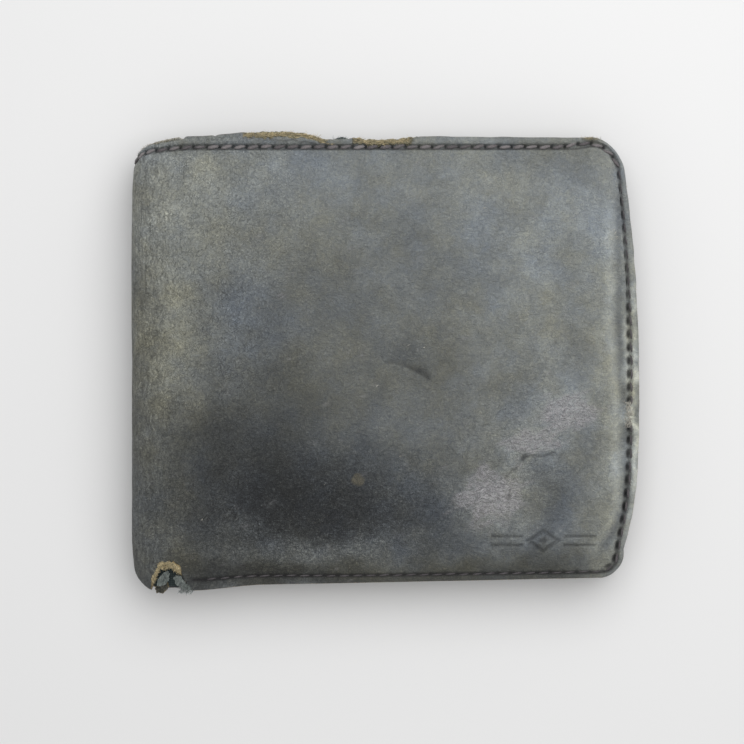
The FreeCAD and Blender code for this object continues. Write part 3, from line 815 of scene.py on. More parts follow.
def build_fibres():
    """The frayed edges of leather and lining, the worn seam's thread ends, and small scuffs."""
    random = np.random.default_rng(77)

    def patch(q, y, lift, way, spread, length, width):
        """Roots, ways, lengths and widths of fibres that grow from these places on the cover."""
        count = len(q)
        ways = np.array(way) + random.normal(0, spread, (count, 3))
        lengths = random.uniform(0.4, 1.0, count) * length
        return cover_face(q, y, lift), ways, lengths, random.uniform(0.6, 1.2, count) * width

    patches = []
    for low, high, count, length in ((-31, -14, 420, 1.7), (-14, -11, 40, 0.8), (-7, 5, 260, 1.3)):
        q = random.uniform(low, high, count)
        y = top_edge(q) + frayed_top(q) - random.uniform(-0.05, 0.8, count)
        patches.append(patch(q, y, -0.06, (1.0, -0.03, 0.02), 0.2, length, 0.07))
    q = random.uniform(-50.6, -43.9, 620)
    y = bottom_edge(q) + tear_height(q) + random.uniform(-0.1, 1.1, 620)
    into_tear = np.stack([0.3 * (-46.6 - q), 0 * q - 1, 0 * q + 0.2], 1)
    patches.append(patch(q, y, 0.25, into_tear, 0.55, 1.0, 0.085))
    q = random.normal(43.6, 0.9, 50)
    y = top_edge(q) - random.uniform(0, 0.4, 50)
    patches.append(patch(q, y, -0.1, (0.2, 0.8, 0.3), 0.5, 0.9, 0.045))
    q = random.uniform(-56.0, 50.0, 130)
    y = bottom_edge(q) - 0.05 + tear_height(q)
    patches.append(patch(q, y, -0.6, (0.0, -0.7, 0.0), 0.7, 0.5, 0.03))
    y = random.uniform(-38, 40, 110)
    patches.append(patch(free_edge(y) + 0.1, y, -0.6, (0.8, 0.0, 0.0), 0.7, 0.45, 0.03))
    place(fibres("raw_edge_fibres", patches, 78), TAN_FIBRE, "cover_leather", "front")

    q = random.normal(-9.2, 0.9, 90)
    y = top_edge(q) + random.uniform(-0.6, 0.1, 90)
    patches = [patch(q, y, -0.9, (0.6, 0.6, 0.2), 0.6, 0.9, 0.05)]
    q = random.uniform(-44.5, -41.2, 170)
    y = bottom_edge(q) + random.uniform(-0.6, 0.9, 170)
    patches.append(patch(q, y, -0.7, (-0.2, -0.6, 0.1), 0.7, 1.2, 0.06))
    place(fibres("lining_frays", patches, 79), TEAL_FIBRE, "lining_cloth", "front")

    q, y = random.normal(52.3, 0.55, 210), random.uniform(-13.9, -8.4, 210)
    patches = [patch(q, y, -0.02, (0.1, 0.5, 0.05), 0.5, 1.1, 0.085)]
    q = random.uniform(-55.5, -43.5, 200)
    y = top_edge(q) + frayed_top(q) - random.uniform(-0.05, 0.3, 200)
    patches.append(patch(q, y, -0.15, (-0.3, 0.5, 0.1), 0.6, 0.6, 0.055))
    q = random.uniform(42.0, 46.5, 60)
    patches.append(patch(q, top_edge(q) - 0.1, -0.3, (0.3, 0.6, 0.1), 0.6, 0.7, 0.05))
    place(fibres("worn_thread_ends", patches, 80), WORN_FIBRE, "thread", "front")

    q, y = np.array([
        (11.2, 43.8), (4.4, 40.1), (12.1, 21.8), (4.8, 3.7), (8.2, 3.2), (-1.9, -5.0), (49.0, 27.6),
        (49.4, 26.9), (48.6, 28.2), (-39.9, -33.2), (-39.2, -33.6), (-43.0, -39.6), (-40.0, -41.4),
        (-26.9, 11.6), (47.0, 31.0), (-13.0, -26.0), (3.0, -20.0), (21.0, 33.0),
    ]).T
    scuffs = patch(q, y, 0.02, (0.6, 0.5, 0.0), 0.25, 1.0, 0.11)
    place(fibres("pale_scuffs", [scuffs], 81, curl=0.25), WORN_FIBRE, "cover_leather", "front")


# ---------------------------------------------------------------- materials

class Nodes:
    """A material's shader, made with short calls."""

    def __init__(self, name):
        self.material = bpy.data.materials.new(name)
        self.material.use_nodes = True
        self.tree = self.material.node_tree

    def put(self, value, socket):
        if isinstance(value, bpy.types.NodeSocket):
            self.tree.links.new(value, socket)
        elif isinstance(value, tuple) and len(value) == 3 and socket.type == "RGBA":
            socket.default_value = (*value, 1)
        else:
            socket.default_value = value

    def add(self, kind, inputs=None, **settings):
        node = self.tree.nodes.new("ShaderNode" + kind)
        for key, value in settings.items():
            setattr(node, key, value)
        for key, value in (inputs or {}).items():
            self.put(value, node.inputs[key])
        return node.outputs

    def math(self, operation, a, b, clamp=False):
        return self.add("Math", {0: a, 1: b}, operation=operation, use_clamp=clamp)[0]

    def plus(self, a, b, clamp=False):
        return self.math("ADD", a, b, clamp)

    def times(self, a, b, clamp=False):
        return self.math("MULTIPLY", a, b, clamp)

    def read(self, name):
        """A number stored on the mesh, or the place that a point has on the unrolled sheet."""
        return self.add("Attribute", attribute_name=name)["Vector" if name == "rest" else "Fac"]

    def scaled(self, vector, scale, turn=0.0):
        return self.add("Mapping", {"Vector": vector, "Scale": scale, "Rotation": (0, 0, turn)})[0]

    def noise(self, vector, scale, detail=3.0, rough=0.55, distortion=0.0):
        return self.add("TexNoise", {
            "Vector": vector, "Scale": scale, "Detail": detail, "Roughness": rough,
            "Distortion": distortion,
        })["Fac"]

    def warped(self, vector, scale, amount):
        """The places pushed about by noise, by up to about this many millimetres."""
        push = self.add("TexNoise", {"Vector": vector, "Scale": scale, "Detail": 2.0})["Color"]
        push = self.add("VectorMath", {0: push, 1: (0.5,) * 3}, operation="SUBTRACT")[0]
        inputs = {0: push, 1: (2 * amount,) * 3, 2: vector}
        return self.add("VectorMath", inputs, operation="MULTIPLY_ADD")[0]

    def cell_edges(self, vector, scale, width):
        """1 on the lines between random cells, and 0 from this far beside them."""
        inputs = {"Vector": vector, "Scale": scale}
        distance = self.add("TexVoronoi", inputs, feature="DISTANCE_TO_EDGE")["Distance"]
        return self.range(distance, 0.0, width, 1.0, 0.0)

    def range(self, value, low, high, out_low=0.0, out_high=1.0):
        return self.add("MapRange", {
            "Value": value, "From Min": low, "From Max": high, "To Min": out_low, "To Max": out_high,
        })[0]

    def swing(self, value, amount, low=0.3):
        """Noise stretched to run from minus this amount to plus it."""
        return self.range(value, low, 1 - low, -amount, amount)

    def mix(self, share, a, b):
        return self.add("Mix", {"Factor": share, 6: a, 7: b}, data_type="RGBA")[2]

    def brighten(self, colour, amount):
        return self.add("VectorMath", {0: colour, "Scale": amount}, operation="SCALE")[0]

    def bump(self, height, distance, strength=1.0):
        return self.add("Bump", {"Height": height, "Distance": distance, "Strength": strength})[0]

    def finish(self, colour, roughness, normal=None, **sockets):
        inputs = self.tree.nodes["Principled BSDF"].inputs
        self.put(colour, inputs["Base Color"])
        self.put(roughness, inputs["Roughness"])
        if normal is not None:
            self.put(normal, inputs["Normal"])
        for key, value in sockets.items():
            inputs[key.replace("_", " ")].default_value = value
        return self.material


def worn_leather():
    """The cover: grey leather rubbed to its nap, with tan fibres where the grain is gone."""
    n = Nodes("worn_grey_leather")
    rest = n.read("rest")
    place = n.add("SeparateXYZ", {0: rest})
    bent = n.warped(n.warped(rest, 0.35, 1.4), 1.6, 0.35)
    clouds = n.noise(bent, 0.075, 6, 0.6, 0.4)
    patches = n.noise(bent, 0.5, 5, 0.66, 0.9)
    grain = n.noise(rest, 1.7, 4, 0.62, 1.1)
    fine = n.noise(rest, 5.0, 3, 0.65, 0.3)
    slanted = n.noise(n.scaled(bent, (0.9, 3.6, 1.0), 0.8), 0.9, 4, 0.65)
    tall = n.noise(n.scaled(rest, (3.4, 0.5, 1.0), 0.05), 1.3, 3, 0.6, 0.4)

    # Cracks: short ones nearly everywhere, long upright ones near the spine
    cells = n.scaled(n.warped(n.warped(rest, 0.7, 1.1), 2.2, 0.35), (1.25, 0.7, 1.0))
    crack = n.times(n.cell_edges(cells, 1.15, 0.10), n.range(patches, 0.42, 0.60))
    crack = n.times(crack, n.range(place["X"], -34.0, 2.0, 1.0, 0.12))
    cells = n.scaled(n.warped(n.warped(rest, 0.5, 1.2), 2.5, 0.22), (0.36, 0.12, 1.0))
    split = n.times(n.cell_edges(cells, 1.0, 0.035), n.range(slanted, 0.48, 0.62))
    split = n.times(split, n.range(place["X"], -32.0, -18.0, 1.0, 0.0))

    # Brightness, as a logarithm
    near = n.plus(n.range(grain, 0.28, 0.72, -0.5, 0.56), n.times(crack, -0.45))
    for layer, amount in ((fine, 0.66), (slanted, 0.4), (tall, 0.15)):
        near = n.plus(near, n.swing(layer, amount, 0.28))
    near = n.times(near, n.read("grit"))
    # Streaks along the bend, painted as the light and shade of its fine wrinkles.
    bend = n.range(place["X"], X_BEND, X_BEND + 7.0, 1.0, 0.0)
    wrinkles = n.noise(n.scaled(bent, (2.4, 0.28, 1.0)), 1.0, 3, 0.6, 0.3)
    near = n.plus(near, n.times(bend, n.swing(wrinkles, 0.38, 0.32)))
    broad = n.plus(n.plus(n.swing(clouds, 0.2), n.swing(patches, 0.14)), n.times(split, -0.45))
    lumps = n.math("POWER", math.e, n.plus(near, broad))

    # Colour: greyer or greener leather, then pale patches of wear with a painted sheen, a spot, flecks, and
    # painted shade in the seam, dents, creases and pressed marks
    tint = n.plus(n.read("tint"), n.swing(n.noise(bent, 0.12, 5, 0.6), 0.5, 0.35))
    tint = n.plus(tint, n.swing(grain, 0.35))
    grey = n.mix(n.range(tint, -1.4, 1.4), (0.85, 0.985, 1.16), (1.05, 1.035, 0.80))
    grey = n.brighten(grey, n.times(n.read("tone"), lumps))
    # Pale patches: rubbed wear with a painted sheen, in light grey.
    streaks = n.noise(n.scaled(bent, (1.0, 3.0, 1.0), -0.35), 1.1, 5, 0.7, 0.3)
    pale = n.times(n.read("pale"), n.range(streaks, 0.36, 0.60, 0.2, 1.0))
    scuffed = n.range(n.plus(fine, n.plus(slanted, -0.5)), 0.34, 0.66)
    grey = n.mix(pale, grey, n.mix(scuffed, (0.155, 0.15, 0.156), (0.49, 0.478, 0.495)))
    spot_tan = n.mix(n.range(fine, 0.3, 0.7), (0.11, 0.10, 0.07), (0.19, 0.17, 0.12))
    grey = n.mix(n.times(n.read("spot"), n.range(grain, 0.3, 0.6, 0.25, 0.75)), grey, spot_tan)
    flecks = n.noise(n.scaled(rest, (1.0, 2.6, 1.0), 0.9), 2.4, 2, 0.5, 0.6)
    flecks = n.times(n.range(flecks, 0.68, 0.76), n.range(clouds, 0.4, 0.6))
    grey = n.mix(n.times(flecks, 0.5), grey, (0.30, 0.27, 0.20))
    # Painted shade from the mesh's dark value, in seam holes and slits, dents, creases and pressed marks;
    # the seam groove is darker too.
    dark = n.times(n.read("dark"), n.range(grain, 0.2, 0.8, 0.8, 1.1), True)
    grey = n.mix(n.times(dark, 0.93), grey, (0.012, 0.011, 0.013))

    # Bare fibres: orange-tan in the torn corner, paler along the top
    strands = n.noise(n.scaled(rest, (1.2, 4.0, 1.0), 0.25), 1.6, 5, 0.7, 0.8)
    lower_tan = n.mix(n.range(strands, 0.40, 0.56), (0.12, 0.08, 0.035), (0.86, 0.66, 0.33))
    upper_tan = n.mix(n.range(strands, 0.42, 0.60), (0.10, 0.09, 0.055), (0.56, 0.52, 0.34))
    tan = n.mix(n.range(place["Y"], -5.0, 5.0), lower_tan, upper_tan)
    raw = n.plus(n.read("raw"), n.times(n.read("edge"), 0.45), True)
    raw = n.range(n.plus(raw, n.swing(fine, 0.22)), 0.3, 0.7)

    relief = n.plus(grain, n.times(n.times(strands, raw), 1.6))
    for layer, amount in ((fine, 0.4), (slanted, 0.5), (patches, 0.6), (crack, -0.35), (split, -0.45)):
        relief = n.plus(relief, n.times(layer, amount))
    return n.finish(
        n.mix(raw, grey, tan), n.range(n.plus(patches, n.times(raw, 0.5)), 0.3, 0.9, 0.5, 0.75),
        n.bump(relief, 0.0006), Specular_IOR_Level=0.35, Sheen_Weight=0.05, Sheen_Roughness=0.5,
    )


def thread_material(name, light, dull):
    n = Nodes(name)
    twist = n.noise(n.scaled(n.read("rest"), (1.0, 1.0, 1.0), 0.6), 7.0, 2, 0.5)
    # light and dull are a lit and a shaded colour of the thread; each stitch is painted between them by its
    # shade value: painted light and shade on the thread.
    colour = n.mix(n.range(n.plus(n.read("shade"), n.swing(twist, 0.4)), 0.0, 1.0), dull, light)
    return n.finish(colour, 0.6, n.bump(twist, 0.0001, 0.7), Specular_IOR_Level=0.4, Sheen_Weight=0.2)


def fibre_material(name, light, dull):
    n = Nodes(name)
    return n.finish(n.mix(n.read("shade"), dull, light), 0.75, Specular_IOR_Level=0.25, Sheen_Weight=0.3)


def inner_leather(name, base):
    """Cleaner leather, with pale rubbed slot mouths, dark crease lines under them, and painted shadow on a
    sheet just above the mouth of the slot sewn over it.
    """
    n = Nodes(name)
    rest = n.read("rest")
    grain = n.noise(rest, 2.6, 4, 0.6, 0.3)
    broad = n.noise(rest, 0.12, 3, 0.5)
    pores = n.add("TexVoronoi", {"Vector": rest, "Scale": 2.4})["Distance"]
    shade = n.times(n.range(grain, 0.25, 0.75, 0.85, 1.15), n.range(broad, 0.3, 0.7, 0.85, 1.2))
    edge = n.times(n.read("edge"), n.range(grain, 0.3, 0.7, 0.5, 1.0), True)
    colour = n.mix(edge, n.brighten(base, shade), (0.27, 0.24, 0.19))
    rub = n.plus(n.read("rub"), n.swing(grain, 0.08))
    colour = n.mix(n.range(rub, 0.1, 1.1, 0.0, 0.8), colour, (0.24, 0.225, 0.205))
    # Where the value is negative the colour goes nearly black: painted shadow just above a slot sewn over
    # the sheet, and the dark crease line under a slot's mouth.
    colour = n.mix(n.range(rub, -0.1, -0.9, 0.0, 0.9), colour, (0.012, 0.012, 0.013))
    scuffs = n.noise(n.scaled(rest, (1.0, 2.2, 1.0), 0.6), 0.5, 5, 0.7, 0.6)
    colour = n.mix(n.range(scuffs, 0.56, 0.74, 0.0, 0.45), colour, (0.17, 0.165, 0.16))
    relief = n.plus(grain, n.range(pores, 0.0, 0.3, 0.0, 0.5))
    roughness = n.range(broad, 0.3, 0.7, 0.42, 0.6)
    return n.finish(colour, roughness, n.bump(relief, 0.00012, 0.7), Specular_IOR_Level=0.45)


def woven(name, light, dull, pitch=0.45):
    """A plain weave whose threads cross at this pitch in millimetres."""
    n = Nodes(name)
    rest = n.read("rest")
    waves = [
        n.add("TexWave", {
            "Vector": n.scaled(rest, (1.0, 1.0, 1.0), turn), "Scale": 0.3141 / pitch, "Distortion": 0.25,
        }, wave_type="BANDS", bands_direction="X", wave_profile="SIN")["Fac"]
        for turn in (0.0, math.pi / 2)
    ]
    cross = n.times(*waves)
    broad = n.noise(rest, 0.35, 3, 0.6)
    share = n.times(n.range(cross, 0.0, 0.8, 0.25, 1.0), n.range(broad, 0.3, 0.7, 0.7, 1.1))
    weave = n.bump(cross, 0.00008, 0.8)
    return n.finish(n.mix(share, dull, light), 0.8, weave, Specular_IOR_Level=0.3, Sheen_Weight=0.25)


def frayed_cloth(name, light, dull):
    """Cloth worn to loose fibres."""
    n = Nodes(name)
    places = n.scaled(n.warped(n.read("rest"), 0.8, 0.5), (3.6, 0.9, 1.0), 0.5)
    strands = n.noise(places, 1.5, 5, 0.7, 0.5)
    colour = n.mix(n.range(strands, 0.36, 0.66), dull, light)
    return n.finish(colour, 0.85, n.bump(strands, 0.0004, 0.9), Specular_IOR_Level=0.25, Sheen_Weight=0.2)


def clear_film():
    n = Nodes("clear_plastic_film")
    rest = n.read("rest")
    haze = n.range(n.noise(rest, 0.35, 3, 0.6), 0.3, 0.7, 0.06, 0.16)
    return n.finish(
        (0.93, 0.95, 0.94), haze, n.bump(n.noise(rest, 0.08, 2, 0.5), 0.0012, 0.22),
        Transmission_Weight=1.0, IOR=1.08, Specular_IOR_Level=0.9,
    )


def board_material():
    n = Nodes("fibre_board")
    flecks = n.noise(n.read("rest"), 1.8, 4, 0.7)
    colour = n.mix(n.range(flecks, 0.3, 0.7), (0.16, 0.13, 0.10), (0.26, 0.22, 0.17))
    return n.finish(colour, 0.85, n.bump(flecks, 0.0001, 0.5), Specular_IOR_Level=0.2)


LEATHER = worn_leather()
SEAM_THREAD = thread_material("grey_mauve_thread", (0.205, 0.188, 0.190), (0.06, 0.053, 0.057))
INNER_THREAD = thread_material("inner_grey_thread", (0.24, 0.235, 0.23), (0.11, 0.108, 0.108))
TAN_FIBRE = fibre_material("leather_fibre", (0.76, 0.64, 0.38), (0.20, 0.16, 0.085))
TEAL_FIBRE = fibre_material("lining_fibre", (0.30, 0.34, 0.33), (0.09, 0.125, 0.125))
WORN_FIBRE = fibre_material("worn_thread", (0.66, 0.64, 0.57), (0.33, 0.31, 0.27))
INNER = inner_leather("inner_grey_leather", (0.088, 0.089, 0.090))
LINING = woven("lining_weave", (0.04, 0.058, 0.058), (0.010, 0.017, 0.018))
FRAYED = frayed_cloth("frayed_lining", (0.25, 0.28, 0.26), (0.02, 0.03, 0.03))
POCKET = woven("pocket_weave", (0.07, 0.072, 0.078), (0.02, 0.021, 0.024), 0.35)
FILM = clear_film()
BOARD = board_material()


# ---------------------------------------------------------------- build: covers

# Two places of the front half: near the spine, then on the half. place() takes them but bends nothing with
# them.
BEND = ((X_SPINE, 0, THICK - BEND_RADIUS), (X_BEND, 0, THICK))
GUTTER_BEND = ((-49.6, 0, 8.0), (-49.6, 0, 10.1))


def place(piece, material, slot_name, where, *nodes, bend=BEND):
    """Paints a piece, bakes its transform if it lies on a half or hangs it under its body's empty, and
    hides the given CAD nodes.
    """
    piece.data.materials.append(material)
    near, far = bend
    if where == "front":
        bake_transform(piece)
    elif where == "back":
        near, far = (near[0], 0, THICK - near[2]), (far[0], 0, THICK - far[2])
        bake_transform(piece)
    else:
        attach(piece, where)
    if nodes:
        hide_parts(*nodes)


def scrap(name, centre, reach, turn, height, seed, material, slot_name, thick=0.25, fold=0.9, raw=0.0):
    """A small torn piece with a ragged edge. centre and reach are in plan, height is its middle's z."""
    u, v = np.meshgrid(np.linspace(-1, 1, 34), np.linspace(-1, 1, 34), indexing="ij")
    x, y = to_disc(u, v)
    angle = np.arctan2(y, x)
    ragged = 1.0
    for cell, share, extra in ((0.9, 0.16, 0), (0.3, 0.10, 1)):
        ragged = ragged + share * noise(3 * np.cos(angle), 3 * np.sin(angle), cell, seed + extra)
    x, y = x * ragged * reach[0], y * ragged * reach[1]
    z = height + fold * 0.5 * np.sin(2.6 * x + seed) + 0.3 * fold * noise(x, y, 0.9, seed + 2)
    px = centre[0] + x * math.cos(turn) - y * math.sin(turn)
    py = centre[1] + x * math.sin(turn) + y * math.cos(turn)
    top, low = np.stack([px, py, z], -1), np.stack([px, py, z - thick], -1)
    rim = smooth((np.maximum(np.abs(u), np.abs(v)) - 0.55) / 0.4)
    piece = closed_sheet(
        name, top, low, 1, 0.4, tone=0.05 + 0.03 * noise(px, py, 0.8, seed + 3), tint=1.0, grit=0.8,
        raw=np.clip(raw + 0.5 * raw * rim, 0, 1), dark=0, spot=0, pale=0,
    )
    place(piece, material, slot_name, "front")


for half in ("front", "back"):
    cover = Cover(half)
    place(build_cover(cover), LEATHER, "cover_leather", half, f"{half}_cover_panel", "spine_cover")
    middles = np.array([(a + b) / 2 for a, b in cover.stitch_ends])
    side = (middles[:, 0] > 47) & (np.abs(middles[:, 1] + 1) < 42.5)
    low = middles[:, 1] < -43.5
    upper = smooth((middles[:, 1] - 6.0) / 14.0)
    # Side-seam stitches, sunk in their open slits, and the bottom ones get low shade values: painted shade
    # on their thread.
    seam = stitches(
        f"cover_stitches_{half}", cover.stitch_ends,
        lambda q, y, lift: on_half(cover_face(q, y, lift), half), 5 if half == "front" else 6,
        0.36, 0.26, 0.12, 0.22, 11, 10, sizes=np.where(side, 0.6 - 0.2 * upper, np.where(low, 0.42, 0.98)),
        shifts=np.where(side, 0.24 - 0.1 * upper, 0.0),
        tones=np.where(side, 0.2 - 0.45 * upper, np.where(low, -0.2, 0.9)),
    )
    nodes = (f"{half}_cover_thread", "spine_top_thread", "spine_bottom_thread")
    place(seam, SEAM_THREAD, "thread", half, *nodes)

build_fibres()
scrap("torn_leather_flap", (-47.9, -48.3), (1.4, 1.0), 0.55, 11.4, 201, LEATHER, "cover_leather",
      thick=0.6, fold=0.3, raw=0.2)
scrap("torn_lining_fold", (-47.5, -46.4), (0.9, 1.8), -0.55, 12.4, 211, FRAYED, "lining_cloth")
scrap("torn_lining_end", (-43.9, -46.9), (1.7, 0.9), -0.8, 13.2, 221, FRAYED, "lining_cloth")
scrap("torn_lining_strip", (-42.8, -48.0), (1.3, 0.65), -0.35, 12.4, 231, FRAYED, "lining_cloth",
      fold=0.7)


# ---------------------------------------------------------------- build: inside of each half

def half_grid(half, x0, y0, y1, inset, step=1.1):
    """Grid places of an inner sheet from x0 to near the free edge. A None end follows the outline."""
    edge_x = EDGE_X[half] - inset
    low = Y_BOTTOM + inset if y0 is None else y0
    high = Y_TOP - inset if y1 is None else y1
    runs = [(low + 1.5, 0.4)] if y0 is None else []
    rows = steps(low, *runs, (high - 2.4, step), (high, 0.2))
    q, y = np.meshgrid(steps(x0, (edge_x - 5, step), (edge_x, 0.45)), rows, indexing="ij")
    corners = []
    if y0 is None:
        corners.append((-1, low, BOTTOM_CORNER - inset))
    if y1 is None:
        corners.append((1, high, TOP_CORNER - inset))
    q, y = round_corners(q, y, edge_x, corners)
    start = bottom_edge(q) + inset if y0 is None else low + 0 * q
    end = top_edge(q) - inset if y1 is None else high + 0 * q
    y = start + (y - low) / (high - low) * (end - start)
    return bowed(q, y, half), y


def card_print(x, y, top):
    """1 where a card in the slot with this top edge pushes its leather out."""
    card_height, standing_out = 54, 9
    upright = smooth((y - (top + standing_out - card_height)) / 1.2) * (1 - smooth((y - top + 0.6) / 3.0))
    return band(x, -42.5, 1.2, 43.2, 1.2) * upright


def inner_sheet(node, half, y0, y1, rim, middle, thick, material, slot_name, slot_top=None, next_top=None):
    """A flat-sewn sheet of one half. rim and middle are the heights of its inner face.

    slot_top is the height of its own mouth, and next_top that of the slot sewn over it.
    """
    name = f"inner_{node}_{half}"
    x0, inset = (-48.4, 8.1) if node == "cover_board" else (X_PANEL, 0.5)
    x, y = half_grid(half, x0, y0, y1, inset)
    share = swell(x, y, gutter=True)
    z = rim + (middle - rim) * share + sway(x, y) + 0.03 * noise(x, y, 9.0, 300 + len(name))
    if node in ("upper_card_slot", "middle_card_slot"):
        z = z + (0.62 - 0.27 * share) * smooth((y0 + 0.9 - y) / 0.5)
    relief = 0 * x
    rub = 0.35 * smooth((1.0 - edge_distance(x, y, half)) / 0.8)
    # Painted shadow on this sheet just above the mouth of the slot sewn over it.
    if next_top is not None:
        rub = rub - 0.85 * np.exp(-np.clip(y - next_top, 0, 50) / 0.9) * (y > next_top - 0.6)
    if slot_top is not None:
        mouth = slot_top - y + 0.15 * noise(x, 0, 3.0, 310)
        rub = rub + (0.8 + 0.3 * noise(x, 0, 5.0, 311)) * smooth((0.75 - mouth) / 0.4)
        rub = rub - 0.75 * bump(mouth, 1.5, 0.28)
        card = card_print(x, y, slot_top)
        rub = rub + 0.3 * bump(card, 0.6, 0.28)
        relief = 0.16 * card * share - 0.1 * bump(y, slot_top - 1.4, 0.22)
        relief = relief - 0.12 * smooth((0.5 - (slot_top - y)) / 0.5)
    low, high = np.stack([x, y, z - relief], -1), np.stack([x, y, z + thick], -1)
    piece = closed_sheet(name, on_half(high, half), on_half(low, half), 3, 0.6, rub=rub)
    place(piece, material, slot_name, f"{half}_half", f"{half}_{node}")


def note_lining(half, inset=0.8):
    """The note compartment's lining, which runs round the spine under the cover."""
    edge_x = EDGE_X[half] - inset
    low, high = Y_BOTTOM + inset, Y_TOP - inset
    q = steps(Q_MIN, (X_BEND + 3, 0.5), (EDGE_X[half] - 6, 1.2), (edge_x, 0.5))
    y = steps(low, (Y_BOTTOM + 9, 0.5), (Y_TOP - 9, 1.2), (high, 0.5))
    q, y = np.meshgrid(q, y, indexing="ij")
    corners = ((1, high, TOP_CORNER - inset), (-1, low, BOTTOM_CORNER - inset))
    q, y = round_corners(q, y, edge_x, corners)
    start, end = bottom_edge(q) + inset, top_edge(q) - inset
    if half == "front":
        end = end + 1.15 * bump(q, -9.4, 1.9) + 0.15 * noise(q, 0, 0.5, 98) * bump(q, -9.4, 2.5)
    y = start + (y - low) / (high - low) * (end - start)
    q = bowed(q, y, half)
    depth = 1.24 + 0.28 * swell(plan_x(q), y)
    outer, inner = on_half(wrap(q, y, depth), half), on_half(wrap(q, y, depth + 0.24), half)
    name, rest = f"note_pocket_lining_{half}", np.stack([q, y, 0 * q], -1)
    piece = closed_sheet(name, outer, inner, 1, 0.5, rest=rest)
    place(piece, LINING, "lining_cloth", half, f"{half}_cover_lining", "spine_lining")


def inner_seams(half):
    """The seam round a half's inner sheets, and the one beside the gutter."""
    def on_panel(x, y, lift):
        z = 8.5 + smooth((y - 20.6) / 0.8) + 0.6 * smooth((y - 39.6) / 0.8) + 0.3 * smooth((y - 41.6) / 0.8)
        return on_half(np.stack([x, y, z - lift], -1), half)

    line = seam_line(half, -46.0, -46.0)
    round_edge = along_line(line, np.arange(int(line_length(line) / STITCH) + 1) * STITCH)
    rows = np.arange(-44.8, 20.4, STITCH)
    beside_gutter = [(np.array([-46.4, a]), np.array([-46.4, a + STITCH])) for a in rows]
    for seam, ends, seed in (
        ("panel", list(zip(round_edge[:-1], round_edge[1:])), 15), ("gutter", beside_gutter, 16),
    ):
        piece = stitches(f"{seam}_stitches_{half}", ends, on_panel, seed)
        place(piece, INNER_THREAD, "thread", f"{half}_half", f"{half}_{seam}_thread")


def gutter_leather(half, thick=0.48):
    """Half of the leather strip that joins the two panels along the gutter."""
    path = [(-49.75, z) for z in (MID, 8.2, 8.9, 9.5)]
    for turn in np.linspace(0, math.pi / 2, 7)[1:]:
        path.append((-49.0 - 0.75 * math.cos(turn), 9.5 + 0.75 * math.sin(turn)))
    path = np.array(path + [(-48.4, 10.25), (-47.75, 10.25)])
    way = np.gradient(path, axis=0)
    way /= np.linalg.norm(way, axis=1, keepdims=True)
    deeper = path + np.stack([way[:, 1], -way[:, 0]], 1) * thick
    rows = steps(-46.2, (42.0, 1.2))
    faces = []
    for side in (path, deeper):
        x, z, y = np.broadcast_arrays(side[:, :1], side[:, 1:], rows)
        faces.append(on_half(np.stack([x + 0.05 * noise(rows, 0, 5.0, 90), y, z], -1), half))
    piece = closed_sheet(f"gutter_leather_{half}", *faces, 1, 0.5)
    place(piece, INNER, "panel_leather", half, "gutter_strip", bend=GUTTER_BEND)


for half in ("front", "back"):
    for sheet in (
        ("cover_board", -35.0, 37.2, 10.36, 13.5, 0.28, BOARD, "board"),
        ("note_wall", None, 42.0, 10.1, 11.9, 0.3, POCKET, "pocket_cloth"),
        ("base_panel", None, 40.0, 9.5, 11.1, 0.6, INNER, "panel_leather", None, 21.0),
        ("upper_card_slot", 8.1, 21.0, 8.5, 9.9, 0.6, INNER, "panel_leather", 21.0, 9.0),
        ("upper_pocket_cloth", -24.0, 8.6, 9.3, 10.1, 0.2, POCKET, "pocket_cloth"),
        ("middle_card_slot", -3.9, 9.0, 8.5, 9.2, 0.6, INNER, "panel_leather", 9.0, -3.0),
        ("middle_pocket_cloth", -36.0, -3.4, 9.12, 9.3, 0.18, POCKET, "pocket_cloth"),
        ("lower_card_slot", None, -3.0, 8.5, 8.5, 0.6, INNER, "panel_leather", -3.0),
    ):
        inner_sheet(sheet[0], half, *sheet[1:])
    note_lining(half)
    inner_seams(half)
    gutter_leather(half)


# ---------------------------------------------------------------- build: centre wing

def even_loop(low, high, radius, count):
    """Evenly spaced places round a rectangle with round corners, anticlockwise."""
    points = []
    for x, y, start in (
        (high[0] - radius, low[1] + radius, -90), (high[0] - radius, high[1] - radius, 0),
        (low[0] + radius, high[1] - radius, 90), (low[0] + radius, low[1] + radius, 180),
    ):
        for k in range(9):
            turn = math.radians(start + 90 * k / 8)
            points.append((x + radius * math.cos(turn), y + radius * math.sin(turn)))
    closed = np.array(points + points[:1])
    return along_line(closed, np.linspace(0, line_length(closed), count + 1)[:-1])


